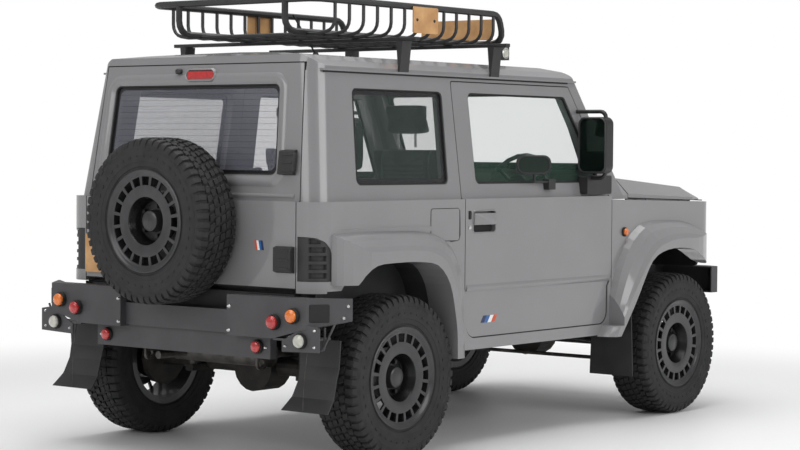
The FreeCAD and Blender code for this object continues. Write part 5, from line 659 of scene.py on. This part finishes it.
# The nose: a ribbed black grille with two round headlamps in rings, rubber along the
# bonnet's edges and two wiper arms at the foot of the windscreen.
wear(black_plastic, "grille_panel")
clear_lens = finish("clear_lens", (0.4, 0.4, 0.35), (0.56, 0.56, 0.5), 60, (0.06, 0.16), 220,
                    0.0015, Coat_Weight=1.0)
wear(clear_lens, "headlamps", "clear_lamps")
sides = ((-1, "right"), (1, "left"))
headlamp_y, ledge_half, wiper_reach = 0.476, 0.6985, -0.38


def tube(name, spots, radius, material, bent=True):
    """A round bar or wire that bends through its spots, or runs straight between them."""
    path = bpy.data.curves.new(name, "CURVE")
    path.dimensions = "3D"
    path.bevel_depth, path.bevel_resolution = radius, 3
    path.use_fill_caps = True
    path.resolution_u = 6
    spline = path.splines.new("NURBS" if bent else "POLY")
    spline.points.add(len(spots) - 1)
    for point, spot in zip(spline.points, spots):
        point.co = (*spot, 1)
    if bent:
        spline.order_u = 3
        spline.use_endpoint_u = True
    holder = linked(name, path)
    mesh = evaluated_mesh(holder)
    bpy.data.objects.remove(holder)
    return piece(name, mesh, material, smooth=45)


def on_ledge(x, z, depth):
    """A spot just inside the edge of the bonnet's side."""
    return x, depth - ledge_half, z


ring = turned("ring", [(0.0845, 0.012), (0.098, 0.012), (0.1, 0.006), (0.099, -0.004),
                       (0.094, -0.0065), (0.0855, -0.003)], 64)
lens = turned("lens", [(0.0006, 0.001), (0.0855, 0.001), (0.0858, -0.003), (0.078, -0.009),
                       (0.06, -0.0145), (0.035, -0.018), (0.0006, -0.0193)], 64)
low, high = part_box("headlamps")
for side, tag in sides:
    hub = (high.x, side * headlamp_y, (low.z + high.z) / 2)
    piece("headlamp_ring_" + tag, placed(ring, hub, pi / 2), bright_metal, smooth=40)
    piece("headlamp_lens_" + tag, placed(lens, hub, pi / 2), clear_lens, smooth=40)
pair("bonnet_seal", strip([(0.87, 1.0885), (1.2, 1.082), (1.585, 1.0685)],
                          oblong(0.0026, 0.004, 0.02), on_ledge, closed=False), seal_rubber)
arm_path = [(0.79, 0, 1.196), (0.768, 0.05, 1.222), (0.722, 0.45, 1.237), (0.712, 0.9, 1.247)]
blade_path = [(0.717, 0.3, 1.235), (0.713, 0.8, 1.241), (0.708, 1.25, 1.248)]
for tag, foot in (("driver", -0.16), ("passenger", 0.36)):
    for part, path, radius, coat in (("arm", arm_path, 0.005, black_plastic),
                                     ("blade", blade_path, 0.0065, seal_rubber)):
        spots = [(x, foot + wiper_reach * share, z) for x, share, z in path]
        tube("wiper_%s_%s" % (part, tag), spots, radius, coat)

# The mirrors: upright heads with silvered glass in moulded housings, on tube frames, and
# a small oval one on a bent stalk below the right window. The glass of both is given a dark
# green-black colour, a painted reflection of the dark things the mirrors show.
wear(black_plastic, "mirror_right", "mirror_left")
# Painted reflection: the mirror glass is a dark green-black metal, not the bright silver of real
# mirror glass.
mirror_silver = finish("mirror_silver", (0.045, 0.065, 0.055), (0.06, 0.08, 0.07), 4,
                       (0.02, 0.05), 6, 0.0001, "clear_glass", Metallic=0.95)
mirror_face = 0.423
oval_place = (Matrix.Translation((-0.081, -0.782, 1.2548))
              @ Matrix.Rotation(radians(38), 4, "Z") @ Matrix.Translation((-0.0098, 0, 0)))


def on_mirror(y, z, depth):
    """A spot on the back of the right mirror's head."""
    return mirror_face + depth, y, z


def on_small_mirror(across, up, depth):
    """A spot on the face of the small mirror."""
    return tuple(oval_place @ Vector((depth, across, up)))


pair("mirror_glass", plate(rounded_box(-0.8375, -0.7025, 1.2245, 1.4695, 0.026), -0.0008,
                           0.0004, on_mirror), mirror_silver, doors)
rim_section = [(-0.003, 0.002), (-0.002, -0.005), (0.003, -0.0075), (0.007, -0.003),
               (0.007, 0.002)]
pair("mirror_rim", strip(rounded_box(-0.842, -0.698, 1.22, 1.474, 0.03), rim_section, on_mirror),
     black_plastic, doors, 50)
oval = rounded_box(-0.07, 0.07, -0.036, 0.036, 0.031)
oval_section = [(-0.002, 0.0005), (0.001, -0.004), (0.006, -0.004), (0.0085, 0.0005)]
piece("small_mirror_glass", plate(oval, -0.0012, 0.0003, on_small_mirror), mirror_silver,
      "door_right")
piece("small_mirror_rim", strip(oval, oval_section, on_small_mirror), black_plastic,
      "door_right", 50)

# Inside are a moulded dashboard, a padded steering wheel and seats in dark cloth: foam
# cushions under sewn covers, with channels stitched across them, on moulded plinths.
cabin_plastic = finish("cabin_plastic", (0.02, 0.02, 0.022), (0.03, 0.03, 0.032), 10,
                       (0.5, 0.65), 800, 0.0008)
wear(cabin_plastic, "cabin_tub", "dashboard", "steering_wheel")


def woven(name, dark, pale, threads):
    """A woven cloth: two crossed sets of threads over a patchy shade, with a soft sheen."""
    made = finish(name, dark, pale, 25, (0.85, 0.95), 500, 0.0006, Sheen_Weight=0.4,
                  Sheen_Roughness=0.5)
    tree = made.node_tree
    place = tree.nodes.new("ShaderNodeTexCoord").outputs["Object"]
    crossed = []
    for direction in ("X", "Y"):
        wave = feed(tree.nodes.new("ShaderNodeTexWave"), Vector=place, Scale=threads,
                    Distortion=0.4)
        wave.bands_direction = direction
        crossed.append(wave.outputs["Fac"])
    relief = feed(tree.nodes.new("ShaderNodeBump"), Distance=0.0008, Strength=0.7,
                  Height=calculated(tree, "MAXIMUM", *crossed), Normal=tree.nodes["Bump"])
    feed(tree.nodes["Principled BSDF"], Normal=relief)
    return made


def block(outline, low, high, edge=0.0):
    """A block with a side outline of (x, z) points between two levels of y."""
    mesh = bmesh.new()
    near = [mesh.verts.new((x, low, z)) for x, z in outline]
    far = [mesh.verts.new((x, high, z)) for x, z in outline]
    mesh.faces.new(near)
    mesh.faces.new(far)
    for index in range(len(near)):
        after = (index + 1) % len(near)
        mesh.faces.new((near[index], near[after], far[after], far[index]))
    if edge:
        bmesh.ops.bevel(mesh, geom=mesh.edges[:], offset=edge, segments=3, affect="EDGES")
    bmesh.ops.recalc_face_normals(mesh, faces=mesh.faces)
    return plain_mesh("block", mesh)


def cushion(start, cap, channels):
    """Swells a block as foam does under its cover, then sews channels across it."""
    pad = linked("pad", start)
    grid = pad.modifiers.new("grid", "REMESH")
    grid.mode = "VOXEL"
    grid.voxel_size = 0.01
    even = evaluated_mesh(pad)
    pad.modifiers.clear()
    pad.data = even
    rest = [vertex.co.copy() for vertex in even.vertices]
    cover = pad.modifiers.new("cover", "CLOTH")
    cover.settings.uniform_pressure_force = 4
    cover.settings.use_pressure = True
    cover.settings.effector_weights.gravity = 0
    for number in range(1, 21):
        scene.frame_set(number)
    even = evaluated_mesh(pad)
    pad.modifiers.clear()
    pad.data = even
    scene.frame_set(1)
    for vertex, before in zip(even.vertices, rest):
        moved = vertex.co - before
        if moved.length > cap:
            vertex.co = before + moved.normalized() * cap
    smooth = pad.modifiers.new("even", "SMOOTH")
    smooth.factor, smooth.iterations = 0.5, 6
    finer = pad.modifiers.new("finer", "SUBSURF")
    finer.levels = finer.render_levels = 1
    mesh = evaluated_mesh(pad)
    bpy.data.objects.remove(pad)
    stitch_depth, stitch_width = 0.006, 0.008
    for vertex in mesh.vertices:
        for axis, level in channels:
            apart = (vertex.co[axis] - level) / stitch_width
            if abs(apart) < 3:
                vertex.co -= vertex.normal * stitch_depth * exp(-apart * apart)
    return mesh


seat_cloth = woven("seat_cloth", (0.02, 0.02, 0.023), (0.04, 0.04, 0.044), 180)
seat_y, seat_half, head_half, plinth_half = 0.335, 0.205, 0.108, 0.178
front, bench = (-seat_y - seat_half, -seat_y + seat_half), (-0.525, -0.018)
seat_nodes = []
for name, outline, (low, high), cap, channels in (
        ("seat_cushion", [(-0.325, 0.757), (0.05, 0.745), (0.05, 0.803), (-0.285, 0.791)],
         front, 0.022, [(0, -0.2), (0, -0.05), (1, -0.47), (1, -0.2)]),
        ("seat_back", [(-0.312, 0.845), (-0.402, 1.34), (-0.468, 1.34), (-0.42, 0.825)],
         front, 0.022, [(2, 0.98), (2, 1.14), (1, -0.47), (1, -0.2)]),
        ("headrest", [(-0.475, 1.395), (-0.413, 1.395), (-0.44, 1.52), (-0.487, 1.52)],
         (-seat_y - head_half, -seat_y + head_half), 0.018, [(2, 1.46)]),
        ("bench_cushion", [(-1.0, 0.742), (-0.62, 0.742), (-0.62, 0.865), (-1.0, 0.865)],
         bench, 0.02, [(0, -0.88), (0, -0.74), (1, -0.27)]),
        ("bench_back", [(-0.985, 0.905), (-1.02, 1.248), (-1.058, 1.248), (-1.048, 0.905)],
         bench, 0.02, [(2, 1.02), (2, 1.14), (1, -0.27)])):
    for made in pair(name, cushion(block(outline, low, high), cap, channels), seat_cloth,
                     smooth=180):
        seat_nodes.append(made)
pair("seat_plinth", block([(-0.323, 0.5765), (0.015, 0.5765), (0.015, 0.742), (-0.323, 0.752)],
                          -seat_y - plinth_half, -seat_y + plinth_half, 0.012), cabin_plastic,
     smooth=40)
pair("sill_panel", block([(-0.52, 0.476), (0.63, 0.476), (0.63, 0.5575), (-0.52, 0.5575)],
                         -0.678, -0.6745, 0.0012), cabin_plastic, smooth=40)
for number, shift in enumerate((-0.05, 0.05)):
    for side, tag in sides:
        y = -side * (shift - seat_y)
        tube("headrest_post_%d_%s" % (number, tag), [(-0.452, y, 1.33), (-0.455, y, 1.41)],
             0.006, bright_metal, bent=False)
for made in seat_nodes:
    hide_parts("seats")

# Round lamps with domed, ringed lenses in black rubber bezels hang from the bumper, and
# two more sit on the front fenders.
red_lens = finish("red_lens", (0.36, 0.008, 0.01), (0.5, 0.015, 0.015), 60, (0.08, 0.16), 260,
                  0.0012, Coat_Weight=1.0)
amber_lens = finish("amber_lens", (0.62, 0.13, 0.01), (0.8, 0.2, 0.015), 60, (0.08, 0.16), 260,
                    0.0012, Coat_Weight=1.0)
wear(red_lens, "red_lamps", "high_brake_lamp")
wear(amber_lens, "amber_lamps")


def dome(radius, rise):
    """A domed lens with moulded rings."""
    edge, rings = 0.002, 5
    line = [(pinhole, edge), (radius, edge), (radius, -edge)]
    for step in range(1, rings + 1):
        share = 1 - step / rings
        level = -edge - rise * sqrt(1 - share * share)
        line.append((max(radius * share + radius * 0.07, 2 * pinhole), level + 0.0006))
        line.append((max(radius * share, pinhole), level))
    return turned("dome", line, 32)


def bezel(radius, depth):
    """A round bezel with a rolled lip."""
    return turned("bezel", [(radius - 0.001, 0.0), (radius + 0.005, 0.0),
                            (radius + 0.0055, -depth * 0.7), (radius + 0.003, -depth),
                            (radius, -depth * 0.95)], 32)


for name, x, y, z, radius, depth, lens in (
        ("tail_lamp", -1.6543, 0.582, 0.612, 0.027, 0.0243, red_lens),
        ("fog_lamp", -1.5958, 0.4435, 0.4998, 0.0243, 0.0194, red_lens),
        ("turn_lamp", -1.6543, 0.685, 0.6426, 0.027, 0.0243, amber_lens),
        ("backup_lamp", -1.6463, 0.7217, 0.5423, 0.027, 0.0193, clear_lens)):
    for side, tag in sides:
        cover, holder = dome(radius * 0.97, radius * 0.32), bezel(radius, depth * 0.8)
        piece(name + "_lens_" + tag, placed(cover, (x, side * y, z), -pi / 2), lens,
              smooth=40)
        piece(name + "_bezel_" + tag, placed(holder, (x + depth, side * y, z), -pi / 2),
              seal_rubber, smooth=40)
side_x, side_z = 0.77, 0.9245
pair("side_lamp_lens", placed(dome(0.0172, 0.006), (side_x, -0.7485, side_z)), amber_lens,
     smooth=40)
pair("side_lamp_bezel", placed(bezel(0.0176, 0.009), (side_x, -body_half, side_z)), seal_rubber,
     smooth=40)

# Bumpers are folded from steel plate and powder coated a satin grey-black. Dome-headed
# bolts hold the lamp plates, the wings and the guard bars under the ends.
bumper_coat = finish("bumper_coat", (0.048, 0.046, 0.05), (0.06, 0.058, 0.062), 7, (0.42, 0.55),
                     700, 0.0006, "black_steel")
wear(bumper_coat, "rear_bumper", "front_bumper")


def stud_tree():
    """A tree that puts a small tapered head on every point, facing one way."""
    tree, given = tree_with("heads_on_points", ("Radius", "Float"), ("Height", "Float"),
                            ("Facing", "Vector"))
    new = tree.nodes.new
    head = feed(new("GeometryNodeMeshCone"), Vertices=12, Radius_Bottom=given["Radius"],
                Radius_Top=calculated(tree, "MULTIPLY", given["Radius"], 0.62),
                Depth=given["Height"])
    facing = new("FunctionNodeAlignRotationToVector")
    facing.axis = "Z"
    spread = feed(new("GeometryNodeInstanceOnPoints"), Points=given["Geometry"], Instance=head,
                  Rotation=feed(facing, Vector=given["Facing"]))
    return ended(tree, spread, given)


heads = stud_tree()


def studs(name, spots, radius, height, facing, coat=bright_metal):
    """Bolt heads on the given spots."""
    seed = bpy.data.meshes.new("spots")
    seed.from_pydata(spots, [], [])
    return piece(name, grown(seed, heads, Radius=radius, Height=height, Facing=facing,
                             Finish=coat), coat, smooth=30)


for name, x, places, radius, height in (
        ("wing_bolts", -1.631, [(0.327, 0.664), (0.325, 0.564)], 0.0085, 0.006),
        ("bracket_bolts", -1.628, [(0.636, 0.517), (0.793, 0.587), (0.792, 0.5195)], 0.0065,
         0.005),
        ("beam_bolts", -1.5774, [(0.485, 0.497)], 0.007, 0.006)):
    studs(name, [(x, side * y, z) for side in (-1, 1) for y, z in places], radius, height,
          (-1.0, 0.0, 0.0))
sweep_x, sweep_y = 0.6256, 0.7801
for side, tag in sides:
    studs("end_bolts_" + tag, [(-1.4946, side * 0.8583, 0.683), (-1.5088, side * 0.8469, 0.635)],
          0.009, 0.006, (-sweep_x, side * sweep_y, 0.0))
end_x, end_y, end_run, end_out, end_length = -1.63, -0.7497, 0.15, 0.1203, 0.1923


def on_reflector(along, up, depth):
    """A spot on the reflector's face, on the swept right end of the bumper."""
    run = 0.069 + along / end_length
    return (end_x + end_run * run + sweep_x * depth, end_y - end_out * run + sweep_y * depth,
            0.618 + up)


pair("end_reflector", plate(rounded_box(0.0, 0.083, 0.0, 0.073, 0.006), -0.004, 0.0005,
                            on_reflector, 0.002), seal_rubber, smooth=30)
guard_x, guard_radius = -1.56, 0.005
for side, tag in sides:
    for name, path, bent in (("guard_bar_", [(0.79, 0.597), (0.79, 0.52), (0.785, 0.503),
                                             (0.75, 0.503), (0.745, 0.52), (0.745, 0.597)], True),
                             ("guard_brace_", [(0.843, 0.613), (0.781, 0.506)], False)):
        tube(name + tag, [(guard_x, side * y, z) for y, z in path], guard_radius, bumper_coat,
             bent)

# Rubber flaps hang behind the wheels, held back by wire stays, with a clamp strip along
# the top and a thickened lip at the foot.
flap_rubber = finish("flap_rubber", (0.02, 0.02, 0.021), (0.032, 0.032, 0.034), 8,
                     (0.5, 0.7), 500, 0.0008)
wear(flap_rubber, "mud_flaps")
for side, tag in sides:
    tube("flap_stay_" + tag, [(-1.536, side * 0.6875, 0.538), (-1.566, side * 0.684, 0.4),
                              (-1.5675, side * 0.682, 0.25)], 0.0013, dull_steel)

# The roof carries two bars on feet, a black steel basket clamped on them, tan boards for
# recovery, two square lamps and an antenna in a rubber boot.
wear(powder_black, "antenna", "roof_bars", "roof_basket")
wear(black_plastic, "rack_lamps")
tan_board = finish("tan_board", (0.43, 0.22, 0.085), (0.6, 0.35, 0.15), 12, (0.4, 0.5), 300,
                   0.0006)
wear(tan_board, "rack_boards", "number_plate")
low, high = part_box("rack_lamps")
for tag, y, turn in (("right", low.y, 0.0), ("left", high.y, pi)):
    spot = (low.x + 0.0313, y, (low.z + high.z) / 2)
    piece("rack_lamp_lens_" + tag, placed(dome(0.0215, 0.007), spot, turn), clear_lens,
          smooth=40)
    piece("rack_lamp_ring_" + tag, placed(bezel(0.0215, 0.006), spot, turn), bright_metal,
          smooth=40)
low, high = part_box("rack_boards")
for tag, y, out in (("right", low.y, -1.0), ("left", high.y, 1.0)):
    studs("board_screws_" + tag, [(-0.672, y, 1.893), (-0.548, y, 1.893)], 0.0075, 0.004,
          (0.0, out, 0.0), black_plastic)

# Coil springs of round wire stand between the axles and the frame rails.
turns, steps, coil_radius, coil_y, seat_z, coil_height = 5, 10, 0.045, 0.33, 0.41, 0.1
for end, x in (("front", 1.195), ("rear", -1.055)):
    for side, tag in sides:
        coil = [(x + coil_radius * cos(2 * pi * step / steps),
                 side * coil_y + coil_radius * sin(2 * pi * step / steps),
                 seat_z + coil_height * step / (turns * steps))
                for step in range(turns * steps + 1)]
        tube("coil_spring_%s_%s" % (end, tag), coil, 0.0065, powder_black)


# The studio: a pale floor that runs into a white backdrop, a soft box overhead and two
# softer ones at the side and behind.
def studio_floor():
    """A pale floor that turns plain white away from the vehicle."""
    made = bpy.data.materials.new("pale_floor")
    made.use_nodes = True
    kept, new = made.node_tree.nodes, made.node_tree.nodes.new
    surface = feed(kept["Principled BSDF"], Base_Color=(0.86, 0.86, 0.86, 1), Roughness=0.45)
    reach = feed(new("ShaderNodeVectorMath"), new("ShaderNodeTexCoord").outputs["Object"])
    reach.operation = "LENGTH"
    fade = feed(new("ShaderNodeMapRange"), Value=reach.outputs["Value"], From_Min=2.6,
                From_Max=5.0)
    fade.interpolation_type = "SMOOTHSTEP"
    feed(kept["Material Output"], Surface=feed(new("ShaderNodeMixShader"), fade, surface,
                                               new("ShaderNodeEmission")))
    return made


def soft_box(name, place, aim, width, depth, power):
    """A rectangular studio light facing a point."""
    light = bpy.data.lights.new(name, "AREA")
    light.shape = "RECTANGLE"
    light.size, light.size_y, light.energy = width, depth, power
    holder = linked(name, light)
    holder.location = place
    holder.rotation_euler = (Vector(aim) - Vector(place)).to_track_quat("-Z", "Y").to_euler()


bpy.ops.mesh.primitive_plane_add(size=120)
floor = bpy.context.object
floor.name = "floor"
floor.data.materials.append(studio_floor())
world = bpy.data.worlds.new("studio")
scene.world = world
world.use_nodes = True
kept, new = world.node_tree.nodes, world.node_tree.nodes.new
rays = new("ShaderNodeLightPath").outputs
seen = calculated(world.node_tree, "MAXIMUM", rays["Is Camera Ray"],
                  rays["Is Transmission Ray"])
dim = feed(kept["Background"], Color=(1, 1, 1, 1), Strength=0.45)
shown_white = feed(new("ShaderNodeBackground"), Color=(1, 1, 1, 1))
feed(kept["World Output"], Surface=feed(new("ShaderNodeMixShader"), seen, dim, shown_white))
soft_box("overhead_box", (0, 0, 6), (0, 0, 0), 7, 5, 330)
soft_box("side_box", (-1, -8, 4), (0, 0, 1), 6, 3, 210)
soft_box("tail_box", (-8, 1, 4), (0, 0, 1), 5, 3, 130)

# The camera stands behind the right rear corner at eye height.
yaw, pitch, roll = 0.669, -0.0354, 0.008
ahead = Vector((cos(yaw) * cos(pitch), sin(yaw) * cos(pitch),
                sin(pitch)))
level_right = ahead.cross(Vector((0, 0, 1))).normalized()
level_up = level_right.cross(ahead)
right = cos(roll) * level_right + sin(roll) * level_up
up = cos(roll) * level_up - sin(roll) * level_right
camera = linked("camera", bpy.data.cameras.new("camera"))
camera.data.lens = 96.56
camera.matrix_world = Matrix.Translation((-8.17, -6.4, 1.322)) @ Matrix(
    (right, up, -ahead)).transposed().to_4x4()
scene.camera = camera
scene.view_settings.view_transform = "Standard"
